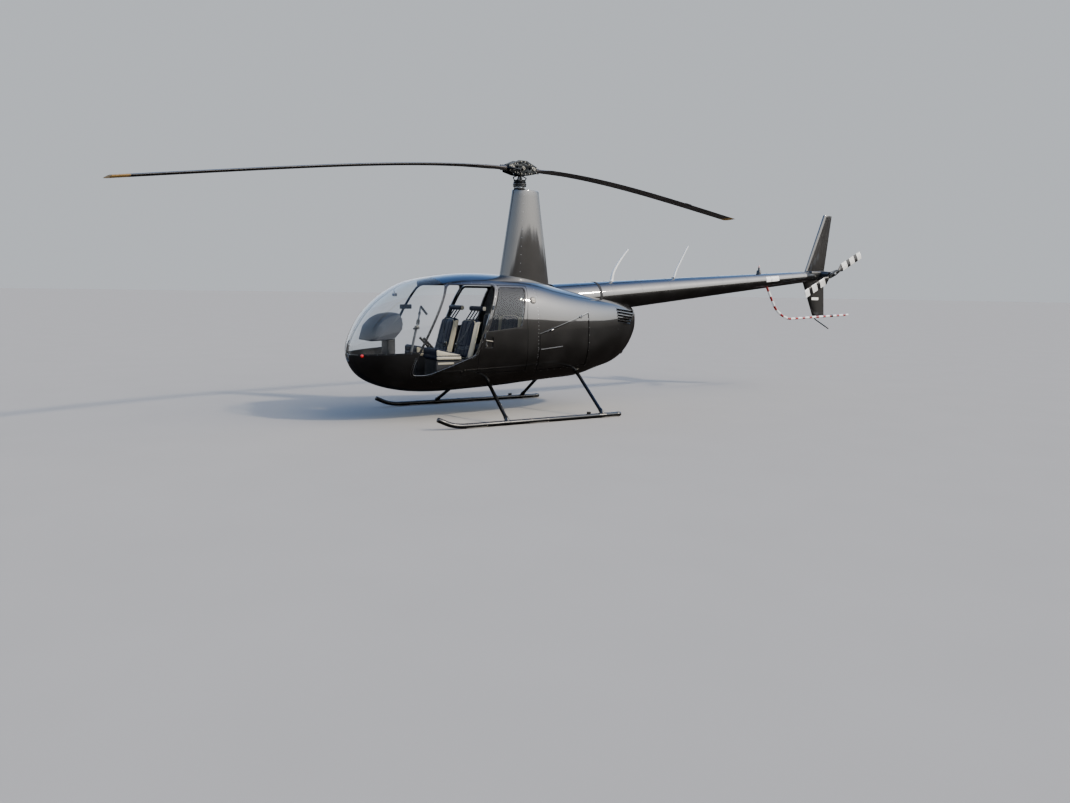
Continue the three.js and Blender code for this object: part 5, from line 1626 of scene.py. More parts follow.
def stabilizerRing(x, inset=0.0):
    nose, end = chordAt(tail["stabilizer"], x)
    return [mm(x, (nose + end) / 2 + (a - 0.5) * (end - nose) * (1 - inset),
               tail["stabilizerZ"] + h * tail["stabilizerThick"] * (1 - inset)) for a, h in airfoil(25)]


def buildStabilizer():
    inner, outer = tail["stabilizer"][0][0], tail["stabilizer"][1][0]
    stations = [(inner, 0.0)] + [(x, 0.0) for x in np.linspace(inner - 60, outer + 40, 8)]
    stations += [(outer + 8, 0.0), (outer + 3, 0.03), (outer, 0.10)]
    pieces = [loft("skin", [stabilizerRing(x, inset) for x, inset in stations], looks["finEnamel"])]
    rivets = []
    for side in (1, -1):
        for x in np.arange(inner - 40, outer + 20, -40):
            nose, end = chordAt(tail["stabilizer"], x)
            for share in (0.2, 0.45, 0.72):
                rise = 22 * (1.9 - 1.6 * share) * 0.56
                rivets.append((mm(x, nose + share * (end - nose), tail["stabilizerZ"] + side * rise),
                               Vector((0, 0, side))))
    pieces.append(fasteners("stabilizerRivets", rivets, 2.6, 1.0, looks["finEnamel"]))
    place(joinPieces("stabilizerSkin", pieces), "airframe", "black_paint", "horizontal_stabilizer")


tailGearbox = {
    "neck": [(5460.4, 1907, 89), (5475, 1908.5, 89), (5480, 1909, 84), (5700, 1930, 62)],  # y, z, radius
    "case": ((-93.6, 5600, 1870), (60, 5960, 2010)),
    "pads": [(1964, 2010), (1870, 1904)], "padEnds": ((-103.6, 5640), (0, 5860)),
    "output": [(0, 60), (50, 61), (62, 61), (64, 68), (74, 68), (76, 56), (110, 54), (150, 48), (152, 54),
               (162, 54), (164, 46), (198, 42), (200, 40), (200, 21)],
    "bolts": 8, "boltCircle": 46, "boltX": 78,
    "glass": [(-2, 13), (4, 13), (6, 10), (6, 0.1)],
}


def buildTailGearbox():
    box = tailGearbox
    _, hubY, hubZ = tail["hub"]
    black = looks["satin"]
    pieces = [tube("neck", [mm(0, y, z) for y, z, _ in box["neck"]], [r / 1000 for *_, r in box["neck"]],
                   black, 64)]
    pieces.append(block("case", mm(*box["case"][0]), mm(*box["case"][1]), 0.022, black, 4))
    low, high = box["padEnds"]
    for lowZ, highZ in box["pads"]:
        pieces.append(block("pad", mm(*low, lowZ), mm(*high, highZ), 0.003, black))
    profile = [(a, min(r, 62 - a * 0.1)) for a, r in box["output"]]
    pieces.append(turned("output", profile, (0, hubY, hubZ), (1, 0, 0), looks["gearboxPaint"], 56))
    bolts = [(mm(box["boltX"], hubY + box["boltCircle"] * math.cos(a), hubZ + box["boltCircle"] * math.sin(a)),
              Vector((1, 0, 0))) for a in around(box["bolts"])]
    pieces.append(fasteners("flangeBolts", bolts, 5, 5, looks["boltSteel"], True))
    screws = [(mm(-50, y, 2010), Vector((0, 0, 1))) for y in np.arange(5640, 5950, 60)]
    screws += [(mm(60, y, z), Vector((1, 0, 0))) for y in (5640, 5760) for z in (1890, 1990)]
    pieces.append(fasteners("caseScrews", screws, 5, 1.6, looks["screwSteel"]))
    pieces.append(turned("sightGlass", box["glass"], (60, 5700, 1925), (1, 0, 0), looks["boltSteel"], 28))
    place(joinPieces("tailGearbox", pieces), "airframe", "satin_black_paint", "tail_gearbox")


# Guard, skid, beacon and aerials
guard = {
    "path": [(60, 4571, 1730), (125, 4740, 1350), (165, 4950, 1218), (165, 6450, 1284)],
    "bend": 110, "radius": 19, "clip": (6020, 6050, 1262, 1278, 150),
    "red": 73, "white": 95,  # lengths of the stripes
    "pointEvery": 6, "round": 24,
}
tailSkid = {"topZ": 1257.5, "path": [(5930, 1270), (5965, 1205), (6329, 1034)], "bend": 40, "radius": 11,
            "shoe": ((6240, 1077), (6325, 1037))}
beacon = {
    "y": 4434, "baseTop": 1991, "baseRadius": 41,
    "post": [(-6, 8), (-6, 13), (44, 13), (46, 9)],
    "lens": [(44, 8), (45, 15), (78, 14), (86, 10), (89, 2)],
    "collar": [(-2, 22), (4, 22), (7, 19), (7, 12)],
}
aerials = {
    # path of (y, z), radii at the foot and the tip
    "antenna_front": ([(1515, 1740), (1547, 1896), (1665, 2068), (1802, 2222)], 24, 12),
    "antenna_rear": ([(2657, 1800), (2710, 1954), (2800, 2105), (2927, 2317)], 16, 10),
}


def resampled(path, spacing):
    # The same path with points an even distance apart, and the distance of each from its start
    lengths = np.concatenate([[0], np.cumsum([(b - a).length for a, b in zip(path, path[1:])])])
    places = np.append(np.arange(0, lengths[-1], spacing), lengths[-1])
    columns = [np.interp(places, lengths, [p[k] for p in path]) for k in range(3)]
    return [Vector(p) for p in zip(*columns)], places


def buildGuard():
    path = roundedPath([mm(*p) for p in guard["path"]], guard["bend"] / 1000, 10)
    points, places = resampled(path, guard["pointEvery"] / 1000)
    r = guard["radius"] / 1000
    tubeSkin = tube("guard", points, [r * 0.6] + [r] * (len(points) - 2) + [r * 0.6], looks["white"],
                    guard["round"])
    tubeSkin.data.materials.append(looks["guardRed"])
    cycle = (guard["red"] + guard["white"]) / 1000
    for face in tubeSkin.data.polygons:
        if len(face.vertices) == 4:
            station = (min(face.vertices) - 1) // guard["round"]
            at = places[min(station, len(places) - 1)] % cycle
            face.material_index = 1 if at < guard["red"] / 1000 else 0
    fromY, toY, lowZ, highZ, outerX = guard["clip"]
    clip = block("clip", mm(tail["finX"] + 20, fromY, lowZ), mm(outerX, toY, highZ), 0.003, looks["satin"])
    x = guard["path"][-1][0]
    clamp = roundBar("clamp", (x, fromY - 8, 1265.1), (x, toY + 8, 1266.9), 22, looks["satin"], 32)
    place(joinPieces("tailGuardTube", [tubeSkin, clip, clamp]), "airframe", "white_paint", "tail_guard")


def buildTailSkid():
    x = tail["finX"]
    corners = [(x, y, z) for y, z in tailSkid["path"]]
    skid = bentTube("skid", corners, tailSkid["bend"], tailSkid["radius"], looks["satin"], 24)
    combine(skid, "INTERSECT", block("cutter", mm(-400, 5000, 900), mm(400, 6600, tailSkid["topZ"]), 0,
                                     looks["satin"]))
    front, aft = tailSkid["shoe"]
    shoe = roundBar("tailSkidShoe", (x, *front), (x, *aft), 12.5, looks["wornSteel"], 28, 10.5)
    place(joinPieces("tailSkidTube", [skid, shoe]), "airframe", "satin_black_paint", "tail_skid")


def buildBeacon():
    y, top, wide = beacon["y"], beacon["baseTop"], beacon["baseRadius"]
    r, z = conePoint(y)
    foot = z + math.sqrt(r ** 2 - wide ** 2) - 6
    high = top - foot
    pieces = [turned("base", [(0, 20), (0, wide), (high - 8, 36), (high, 30), (high, 2)], (0, y, foot),
                     (0, 0, 1), looks["satin"], 40)]
    for name, look in (("post", "satin"), ("lens", "paleLens"), ("collar", "boltSteel")):
        pieces.append(turned(name, beacon[name], (0, y, top), (0, 0, 1), looks[look], 32))
    place(joinPieces("beaconLamp", pieces), "airframe", "red_lens", "beacon")


def buildAerials():
    for node, (path, footRadius, tipRadius) in aerials.items():
        line = roundedPath([mm(0, y, z) for y, z in path], 0.06, 6)
        radii = list(np.linspace(footRadius, tipRadius, len(line)) / 1000)
        rod = tube("rod", line, radii, looks["whiteSatin"], 24)
        footY = path[0][0]
        collar = turned("collar", [(-8, footRadius + 16), (3, footRadius + 14), (8, footRadius + 6),
                                   (8, footRadius - 2)], (0, footY + 4, sum(conePoint(footY + 6))),
                        (0, 0.1, 1), looks["whiteSatin" if node == "antenna_front" else "satin"], 32)
        place(joinPieces(f"{node}_rod", [rod, collar]), "airframe", "white_paint", node)


def buildTailTrim():
    buildTailSkid()
    buildBeacon()
    buildAerials()
    print("tail built")


# Seats: padded pieces start as rounded boxes and are blown up a little as cloth
seats = {
    "front": {"frontY": -1425, "depth": 350, "inner": 95, "outer": 530, "backY": -1014.6, "rise": 20,
              "fall": 55, "backTop": 1250, "backThick": 80, "lean": 130},
    "rear": {"frontY": -700, "depth": 380, "inner": 12, "outer": 510, "backY": -319.6, "rise": 0, "fall": 0,
             "backTop": 1310, "backThick": 70, "lean": 50},
    "bottomZ": 760, "topZ": 880, "clearance": 3, "voxel": 9, "quickVoxel": 14, "cap": 12, "pressure": 4.0,
    "frames": 20,
    "headrest": {"bottomZ": 1350, "topZ": 1412, "thick": 58, "aft": 250, "postSpan": 90, "rodRadius": 8},
}

simulated = {}


def roundedNet(size, corner):
    # A box from the origin with rounded edges, remeshed to an even net
    piece = roundedBox("pad", Vector(size) / 2000, Vector(size) / 1000, corner / 1000, 5)
    net = piece.modifiers.new("net", "REMESH")
    net.mode = "VOXEL"
    net.voxel_size = seats["voxel"] / 1000
    bakeModifiers(piece)
    return piece


def meshPoints(mesh):
    flat = np.empty(len(mesh.vertices) * 3)
    mesh.vertices.foreach_get("co", flat)
    return flat.reshape(-1, 3)


def blowUp(piece):
    # Cloth under a little pressure; gives the swollen points
    scene = bpy.context.scene
    cloth = piece.modifiers.new("cloth", "CLOTH")
    cloth.settings.use_pressure = True
    cloth.settings.uniform_pressure_force = seats["pressure"]
    cloth.settings.effector_weights.gravity = 0
    for number in range(1, seats["frames"] + 1):
        scene.frame_set(number)
    swollenPiece = piece.evaluated_get(bpy.context.evaluated_depsgraph_get())
    swollen = meshPoints(swollenPiece.to_mesh())
    swollenPiece.to_mesh_clear()
    piece.modifiers.clear()
    scene.frame_set(1)
    return swollen


def swollenPad(size, corner):
    # The net and how far each of its points swells; left and right seats share one
    key = (tuple(round(s, 1) for s in size), corner)
    if key not in simulated:
        piece = roundedNet(size, corner)
        before = meshPoints(piece.data)
        swell = blowUp(piece) - before
        length = np.linalg.norm(swell, axis=1, keepdims=True)
        swell *= np.minimum(1, seats["cap"] / 1000 / np.maximum(length, 1e-9))
        simulated[key] = (piece.data.copy(), before * 1000, swell * 1000)
        bpy.data.objects.remove(piece)
        print("pad swollen", len(before), "points, most", round(float(length.max()) * 1000, 1), "mm")
    return simulated[key]


# shape brings local millimetres to airframe millimetres, soft weighs the swelling,
# and grooves are (axis, place, face axis, face at its high end, half width, depth)
def padded(name, size, corner, shape, grooves, soft, cream):
    mesh, local, swell = swollenPad(size, corner)
    piece = linked(name, mesh.copy())
    points = local + swell * soft(local)
    for axis, at, faceAxis, high, half, depth in grooves:
        nearness = np.exp(-((local[:, axis] - at) / half) ** 2)
        edge = size[faceAxis] - local[:, faceAxis] if high else local[:, faceAxis]
        points[:, faceAxis] += (-1 if high else 1) * depth * nearness * np.clip(1 - edge / 22, 0, 1)
    placed = np.array([mm(*shape(*p)) for p in points])
    piece.data.vertices.foreach_set("co", placed.ravel())
    finer = piece.modifiers.new("finer", "SUBSURF")
    finer.levels = 1
    finer.render_levels = 1
    bakeModifiers(piece)
    piece.data.materials.clear()
    piece.data.materials.append(looks["navy"])
    if turnedInsideOut(piece):
        piece.data.flip_normals()
    paintFaces(piece, looks["cream"], cream)
    smooth(piece, 60)
    return piece


def turnedInsideOut(piece):
    shape = bmesh.new()
    shape.from_mesh(piece.data)
    volume = shape.calc_volume(signed=True)
    shape.free()
    return volume < 0


def surfaceOf(piece):
    mesh = piece.data
    points = [vertex.co.copy() for vertex in mesh.vertices]
    return BVHTree.FromPolygons(points, [tuple(face.vertices) for face in mesh.polygons])


def laidOn(surface, point, towards, lift):
    # The place on a pad met from outside, moved off it by the lift
    hit = surface.ray_cast(point - towards * 0.08, towards)[0]
    return (hit if hit is not None else point) - towards * lift / 1000


def weltRing(surface, size, inset, shape, faceAxis, high, material, corner=35):
    # Piping round one face of a pad
    a, b = [axis for axis in range(3) if axis != faceAxis]
    outline = [(inset, inset), (size[a] - inset, inset), (size[a] - inset, size[b] - inset),
               (inset, size[b] - inset)]
    towards = Vector((0, 0, -1)) if faceAxis == 2 else Vector((0, 1, 0))
    path = []
    for u, v in spread(roundedOutline(outline, corner), 14):
        local = [0.0, 0.0, 0.0]
        local[a], local[b] = u, v
        local[faceAxis] = size[faceAxis] if high else 0
        path.append(laidOn(surface, mm(*shape(*local)), towards, 0))
    return ribbon("welt", path, [-towards] * len(path), 7, 3.2, material, closed=True, sink=4)


def padSpan(row):
    # Width of one seat's pads, and how far from the middle they begin
    seat, clear = seats[row], seats["clearance"]
    return seat["outer"] - seat["inner"] - 2 * clear, seat["inner"] + clear


def buildCushion(row, name, side):
    seat, clear = seats[row], seats["clearance"]
    width, inner = padSpan(row)
    size = (width, seat["depth"] - 2 * clear, seats["topZ"] - seats["bottomZ"] - clear)

    def shape(u, v, w):
        rise = seat["rise"] - (seat["rise"] + seat["fall"]) * v / size[1]
        return side * (inner + u), seat["frontY"] + clear + v, seats["bottomZ"] + 1 + w * (1 + rise / size[2])

    def soft(p):
        weight = np.clip((p[:, 2] - 25) / 45, 0, 1)[:, None]
        return weight * np.array([[0.5, 0.25, 0.75]])

    lineAt = size[2] * 0.44
    lineZ = seats["bottomZ"] + lineAt
    grooves = [(0, width * share, 2, True, 8, 8) for share in (0.2, 0.4, 0.6, 0.8)]
    grooves += [(2, lineAt, 0, False, 7, 6), (2, lineAt, 0, True, 7, 6), (2, lineAt, 1, False, 7, 6)]
    cushion = padded(f"seatCushion_{row}_{name}", size, 26, shape, grooves, soft,
                     lambda middle, normal: abs(normal.x) > 0.7 and abs(middle[2] - lineZ) > 7)
    welt = weltRing(surfaceOf(cushion), size, 17, shape, 2, True, looks["navy"])
    welt.name = f"cushionWelt_{row}_{name}"
    lid = f"{row}_seat_lid_{name}"
    place(cushion, lid, "navy_leather", f"{row}_cushion_{name}")
    place(welt, lid, "navy_leather")


def buildBack(row, name, side):
    # The pad, its surface to lay a belt on, and the piping round it
    seat = seats[row]
    width, inner = padSpan(row)
    height = seat["backTop"] - seats["bottomZ"] - 2
    size = (width, seat["backThick"] - 2, height)
    middleX = (seat["inner"] + seat["outer"]) / 2

    def shape(u, v, w):
        share = max(0, w / height)
        taper = 1 - 0.08 * share ** 3
        drop = 34 * abs(2 * u / width - 1) ** 5 * share ** 8
        return (side * (middleX + (inner + u - middleX) * taper),
                seat["backY"] + 1 + v + seat["lean"] * w / height, seats["bottomZ"] + 1 + w - drop)

    grooves = [(0, width * share, 1, False, 8, 8) for share in (0.24, 0.5, 0.76)]
    grooves += [(2, height * 0.3, 1, False, 8, 6)]
    back = padded(f"seatBack_{row}_{name}", size, 24, shape, grooves,
                  lambda p: np.clip(1 - p[:, 1] / 60, 0, 1)[:, None] * 0.8,
                  lambda middle, normal: abs(normal.x) > 0.7)
    surface = surfaceOf(back)
    return back, surface, weltRing(surface, size, 16, shape, 1, False, looks["cream"])


def buildHeadrest(name, side):
    # Places the pad and gives its rods, which go with the seat's trim
    seat, rest = seats["front"], seats["headrest"]
    width, inner = padSpan("front")
    y = seat["backY"] + rest["aft"]
    size = (width - 34, rest["thick"] - 2, rest["topZ"] - rest["bottomZ"] - 2)

    def shape(u, v, w):
        return side * (inner + 17 + u), y - rest["thick"] / 2 + 1 + v, rest["bottomZ"] + 1 + w

    pad = padded(f"headrest_{name}", size, 20, shape, [(0, size[0] / 2, 1, False, 6, 3)],
                 lambda p: np.full((len(p), 1), 0.25), lambda middle, normal: abs(normal.x) > 0.75)
    place(pad, "airframe", "navy_leather")
    span = seat["outer"] - seat["inner"] - 2 * rest["postSpan"]
    rods = []
    for i in range(4):
        x = side * (seat["inner"] + rest["postSpan"] + i * span / 3)
        rods.append(roundBar("rod", (x, y - 115, seat["backTop"] - 40), (x, y, rest["bottomZ"] + 20),
                             rest["rodRadius"], looks["darkSteel"], 20))
    return rods


def buildSeat(row, name, side):
    buildCushion(row, name, side)
    back, surface, welt = buildBack(row, name, side)
    outer, frontY = side * (seats[row]["outer"] - 34), seats[row]["frontY"]
    strip = block("boxStrip", mm(outer - 3, frontY + 40, 708), mm(outer + 3, frontY + 250, 732), 0.001,
                  looks["cream"])
    trimPieces = [welt, strip]
    if row == "front":
        trimPieces += buildHeadrest(name, side)
        trimPieces += buildBelt(surface, side)
    place(back, "airframe", "navy_leather", f"{row}_seat_back_{name}")
    place(joinPieces(f"seatTrim_{row}_{name}", trimPieces), "airframe", "navy_leather")


belt = {"width": 46, "thick": 2.0, "lowZ": 915, "sag": 26}


def buildBelt(surface, side):
    # A shoulder strap down the seat back and a lap strap across its foot, laid on the pad
    seat = seats["front"]
    reach = seat["outer"] - seat["inner"]
    height = seat["backTop"] - seats["bottomZ"]
    face = lambda z: seat["backY"] + seat["lean"] * (z - seats["bottomZ"]) / height
    topX, lowX, top = side * (seat["outer"] - reach * 0.3), side * (seat["inner"] + 70), seat["backTop"]
    aft = Vector((0, 1, 0))
    behind = face(top) + seat["backThick"]
    path = [mm(topX, behind + 6, top - 40), mm(topX, behind - 8, top + 4), mm(topX, face(top) + 34, top + 10),
            mm(topX, face(top) + 2, top - 4)]
    normals = [Vector((0, 1, 0.1)), Vector((0, 0.5, 1)), Vector((0, -0.2, 1)), Vector((0, -1, 0.6))]
    for share in np.linspace(0, 1, 26):
        z = top - 34 - (top - 34 - belt["lowZ"]) * share
        path.append(laidOn(surface, mm(topX + (lowX - topX) * share ** 1.6, face(z), z), aft, 0.6))
        normals.append(Vector((0, -1, 0.27)))
    pieces = [ribbon("strap", path, [n.normalized() for n in normals], belt["width"], belt["thick"],
                     looks["webbing"], sink=0.5)]
    lap = []
    for share in np.linspace(0, 1, 24):
        z = belt["lowZ"] - belt["sag"] * math.sin(share * math.pi)
        x = side * (seat["inner"] + 26 + share * (reach - 52))
        lap.append(laidOn(surface, mm(x, face(z), z), aft, 3.0))
    out = [Vector((0, -1, 0.25)).normalized()] * len(lap)
    pieces.append(ribbon("lap", lap, out, belt["width"], belt["thick"], looks["webbing"], sink=0.5))
    at = laidOn(surface, mm(lowX, face(belt["lowZ"]), belt["lowZ"]), aft, 5.4)
    pieces.append(block("buckle", at + metres(-27, -13, -34), at + metres(27, 4, 26), 0.004,
                        looks["boltSteel"]))
    pieces.append(block("latch", at + metres(-16, -16, -12), at + metres(16, -10, 16), 0.002, looks["satin"]))
    return pieces


# A finished piece made from its CAD form: welded, edges eased, faces painted by where they look
def dressed(name, node, material, ease, paint=()):
    source = nodes[node]
    piece = duplicate(source, name)
    piece.data.transform(source.matrix_world)
    shape = bmesh.new()
    shape.from_mesh(piece.data)
    bmesh.ops.remove_doubles(shape, verts=shape.verts[:], dist=1e-5)
    bmesh.ops.dissolve_limit(shape, angle_limit=math.radians(0.5), verts=shape.verts[:], edges=shape.edges[:])
    shape.to_mesh(piece.data)
    shape.free()
    piece.data.materials.clear()
    piece.data.materials.append(material)
    easeEdges(piece, ease, 3, 40)
    for finish, chosen in paint:
        paintFaces(piece, finish, chosen)
    smooth(piece)
    return piece


def buildCabinLining():
    floor = dressed("cabinFloorLining", "cabin_floor", looks["liner"], 2.5,
                    [(looks["carpet"], lambda middle, normal: normal.z > 0.9 and middle[2] < 512)])
    place(floor, "airframe", "dark_plastic", "cabin_floor")
    place(dressed("firewallLining", "firewall", looks["carpet"], 2.5), "airframe", "dark_plastic", "firewall")
    screws = [(mm(side * 560, y, 511), Vector((0, 0, 1))) for side in sides.values()
              for y in np.arange(-1500, -900, 120)]
    place(fasteners("floorScrews", screws, 4, 1.2, looks["screwSteel"]), "airframe", "dark_plastic")


# Instruments and controls
console = {
    "outline": [(-2140, 985), (-2085, 1170), (-1990, 1265), (-1900, 1310), (-1772, 1330), (-1742, 1270),
                (-1742, 1115), (-1850, 1000)],
    "half": 270, "middle": (-1860, 1130), "pinch": 0.13, "crown": 0.05,
    "face": ((-248, -1748, 1122), (248, -1740.5, 1262)),
    "pedestal": {"half": 115, "frontY": -1880, "aftY": -1780, "footZ": 510.4, "topZ": 1030},
    "modules": [900, 835, 770], "moduleHigh": 52,
    # x, z and radius of each dial
    "dials": [(x, 1192, 36) for x in (-205, -123, -41, 41, 123, 205)] + [(-150, 1245, 20), (0, 1252, 18),
                                                                        (150, 1245, 20)],
    "knob": [(0, 11), (10, 10), (14, 8), (14, 0.1)],
    "compassGlass": [(0, 19), (3, 18), (5, 12), (5, 0.1)],
}


def hoodRings():
    outline = roundedOutline(console["outline"], 26, 5)
    middleY, middleZ = console["middle"]
    half = console["half"]
    ends = np.array([0, 4, 14])
    rings = []
    for x in np.concatenate([-half + ends, np.linspace(-half + 36, half - 36, 15), half - ends[::-1]]):
        scale = 1 - console["pinch"] * max(0, 1 - (half - abs(x)) / 60) ** 2
        crown = 1 - console["crown"] * (abs(x) / half) ** 2
        rings.append([mm(x, middleY + (y - middleY) * scale,
                         middleZ + (z - middleZ) * scale * (crown if z > middleZ else 1)) for y, z in outline])
    return rings


def dialMarks():
    # Twelve ticks and a needle on each dial, no figures
    points, faces = [], []
    for x, z, r in console["dials"]:
        marks = []
        for a in around(12):
            out = Vector((math.cos(a), 0, math.sin(a)))
            across = Vector((-out.z, 0, out.x))
            centre = Vector((x, -1737.2, z))
            marks.append([centre + out * d + across * w
                          for d, w in ((r - 4, -0.9), (r - 4, 0.9), (r - 11, 0.9), (r - 11, -0.9))])
        marks.append([(x + dx + dz * 0.3, -1736.8, z + dz)
                      for dx, dz in ((-1.6, -4), (1.6, -4), (0.6, r * 0.7), (-0.6, r * 0.7))])
        for mark in marks:
            faces.append(tuple(range(len(points), len(points) + 4)))
            points += [mm(*p) for p in mark]
    return addMesh("ticks", points, faces, looks["dialWhite"])


def buildConsole():
    aft, plastic = (0, 1, 0), looks["plastic"]
    pieces = [loft("hood", hoodRings(), looks["hoodPlastic"], sharpAngle=50)]
    pieces.append(block("face", mm(*console["face"][0]), mm(*console["face"][1]), 0.003, plastic))
    for x, z, r in console["dials"]:
        pieces.append(turned("bezel", [(-2, r + 5), (5, r + 5), (8, r + 2), (8, r - 1), (3, r - 2), (2.6, 0.1)],
                             (x, -1741, z), aft, plastic, 36))
    pieces.append(dialMarks())
    box = console["pedestal"]
    pieces.append(block("pedestal", mm(-box["half"], box["frontY"], box["footZ"]),
                        mm(box["half"], box["aftY"], box["topZ"]), 0.014, plastic, 4))
    for low in console["modules"]:
        pieces.append(block("module", mm(-82, box["aftY"] - 4, low),
                            mm(82, box["aftY"] + 2, low + console["moduleHigh"]), 0.003, looks["bandBlack"]))
        for x in (-62, 62):
            pieces.append(turned("knob", console["knob"],
                                 (x, box["aftY"] + 2, low + console["moduleHigh"] / 2), aft, plastic, 24))
    screws = [(mm(x, -1740, z), Vector(aft)) for x in (-238, 238) for z in (1132, 1252)]
    screws += [(mm(x, box["aftY"], z), Vector(aft)) for x in (-100, 100) for z in (560, 700, 990)]
    pieces.append(fasteners("panelScrews", screws, 4, 1.2, looks["screwSteel"]))
    place(joinPieces("instrumentHood", pieces), "airframe", "dark_plastic", "instrument_console")


def buildCompass():
    # A compass under the centre strip and a small box on the right windshield post
    plastic = looks["plastic"]
    compass = [block("compassBody", mm(-26, -1770, 1522), mm(26, -1716, 1562), 0.012, plastic, 4),
               turned("compassGlass", console["compassGlass"], (0, -1716, 1542), (0, 1, 0),
                      looks["dialWhite"], 28),
               roundBar("compassStalk", (0, -1745, 1560), (0, -1752, 1612), 6, plastic)]
    place(joinPieces("compass", compass), "airframe", "dark_plastic")
    screws = [(mm(-528, y, 1386), Vector((1, 0, 0))) for y in (-1446, -1322)]
    box = [block("switchBox", mm(-574, -1462, 1356), mm(-528, -1306, 1416), 0.008, plastic, 3),
           fasteners("boxScrews", screws, 4, 1.2, looks["screwSteel"])]
    place(joinPieces("postBox", box), "airframe", "dark_plastic")


def gripProfile(length, radius, fingers=4):
    # Moulded hand grip with finger ridges
    profile = [(0, 2), (1, radius * 0.8), (4, radius)]
    for at in np.linspace(0.1, 0.88, fingers * 6):
        profile.append((at * length, radius - 1.6 - 1.6 * math.cos(at * fingers * 2 * math.pi)))
    return profile + [(length - 6, radius), (length - 2, radius * 0.8), (length, 2)]


def handGrip(start, end, radius, fingers=4):
    start, end = Vector(start), Vector(end)
    return turned("grip", gripProfile((end - start).length, radius, fingers), start, end - start,
                  looks["rubber"], 32)


floorTop = 510.4
cyclic = {
    "base": ((-60, -1580, floorTop), (60, -1480, 780)),
    "foot": (0, -1545, 770), "head": (0, -1455, 1150), "stickRadius": 16,
    "arm": ((12, -1455, 1135), (-245, -1300, 1392)), "armRadius": 11.5,
    "pivot": [(-26, 8), (-24, 22), (-8, 25), (8, 25), (24, 22), (26, 8)],
    "clamps": [((-34, -1427, 1180), (-74, -1403, 1221), 22), ((-150, -1357, 1297), (-172, -1344, 1319), 16),
               ((-56, -1470, 1120), (62, -1455, 1132), 14)],
    "grip": ((-240, -1303, 1398), (-262, -1205, 1290)), "button": [(-5, 1), (-4, 5), (2, 6)],
}
collective = {"x": 62, "pivot": (-960, 560), "leverEnd": (-1290, 905), "grip": ((-1250, 863), (-1390, 1010)),
              "bolt": (-1240, 866)}
pedals = {"x": 175, "apart": 65, "bar": (-1905, 575), "top": (-1940, 690), "treads": [684, 698, 712, 726]}


def buildCyclic():
    stick = looks["controlGrey"]
    foot, head = Vector(cyclic["foot"]), Vector(cyclic["head"])
    bellows = [(0, 46), (8, 48)] + [(14 + i * 9, (44 if i % 2 else 38) - i * 4) for i in range(6)] + [(70, 17)]
    pieces = [block("base", mm(*cyclic["base"][0]), mm(*cyclic["base"][1]), 0.016, looks["plastic"], 4),
              turned("boot", bellows, foot, (head - foot).normalized(), looks["rubber"], 36),
              roundBar("stick", foot, head, cyclic["stickRadius"], stick, 28),
              roundBar("arm", *cyclic["arm"], cyclic["armRadius"], stick, 28),
              turned("pivot", cyclic["pivot"], (4, -1455, 1140), (1, 0.2, 0), looks["boltSteel"], 32)]
    for start, end, radius in cyclic["clamps"]:
        pieces.append(roundBar("clamp", start, end, radius, looks["plastic"], 28))
    start, end = (Vector(p) for p in cyclic["grip"])
    pieces.append(handGrip(start, end, 17))
    pieces.append(turned("button", cyclic["button"], start, end - start, looks["guardRed"], 18))
    place(joinPieces("cyclicTBar", pieces), "airframe", "satin_black_paint", "cyclic_control")


def buildCollective():
    stick, (pivotY, pivotZ) = looks["controlGrey"], collective["pivot"]
    pieces = [roundBar("pivotBar", (-70, pivotY, pivotZ), (70, pivotY, pivotZ), 14, stick, 28)]
    for side in sides.values():
        x = side * collective["x"]
        low, high = collective["grip"]
        pieces.append(block("post", mm(x - 12, -985, floorTop), mm(x + 12, -935, 566), 0.004, looks["plastic"]))
        pieces.append(roundBar("lever", (x, pivotY, pivotZ), (x, *collective["leverEnd"]), 11, stick, 28))
        pieces.append(handGrip((x, *low), (x, *high), 17, 6))
        pieces.append(fasteners("collarBolt", [(mm(x, *collective["bolt"]), Vector((0, 0.6, 0.8)))], 6, 8,
                                looks["boltSteel"], True))
    place(joinPieces("collectivePair", pieces), "airframe", "satin_black_paint", "collective_levers")


def buildPedals():
    stick, bar = looks["controlGrey"], pedals["bar"]
    pieces = [roundBar("bar", (-250, *bar), (250, *bar), 12, stick, 24)]
    for side in sides.values():
        middle = side * pedals["x"]
        pieces.append(block("post", mm(middle - 25, -1925, floorTop), mm(middle + 25, -1885, 585), 0.004,
                            looks["plastic"]))
        for x in (middle - pedals["apart"], middle + pedals["apart"]):
            pieces.append(roundBar("arm", (x, *bar), (x, *pedals["top"]), 9, stick, 20))
            pieces.append(block("plate", mm(x - 38, -1953, 670), mm(x + 38, -1938, 745), 0.004, stick))
            for z in pedals["treads"]:
                pieces.append(roundBar("tread", (x - 32, -1938, z), (x + 32, -1938, z), 3.2,
                                       looks["rubber"], 12))
    place(joinPieces("pedalSet", pieces), "airframe", "satin_black_paint", "pedals")
    print("seats and controls built")


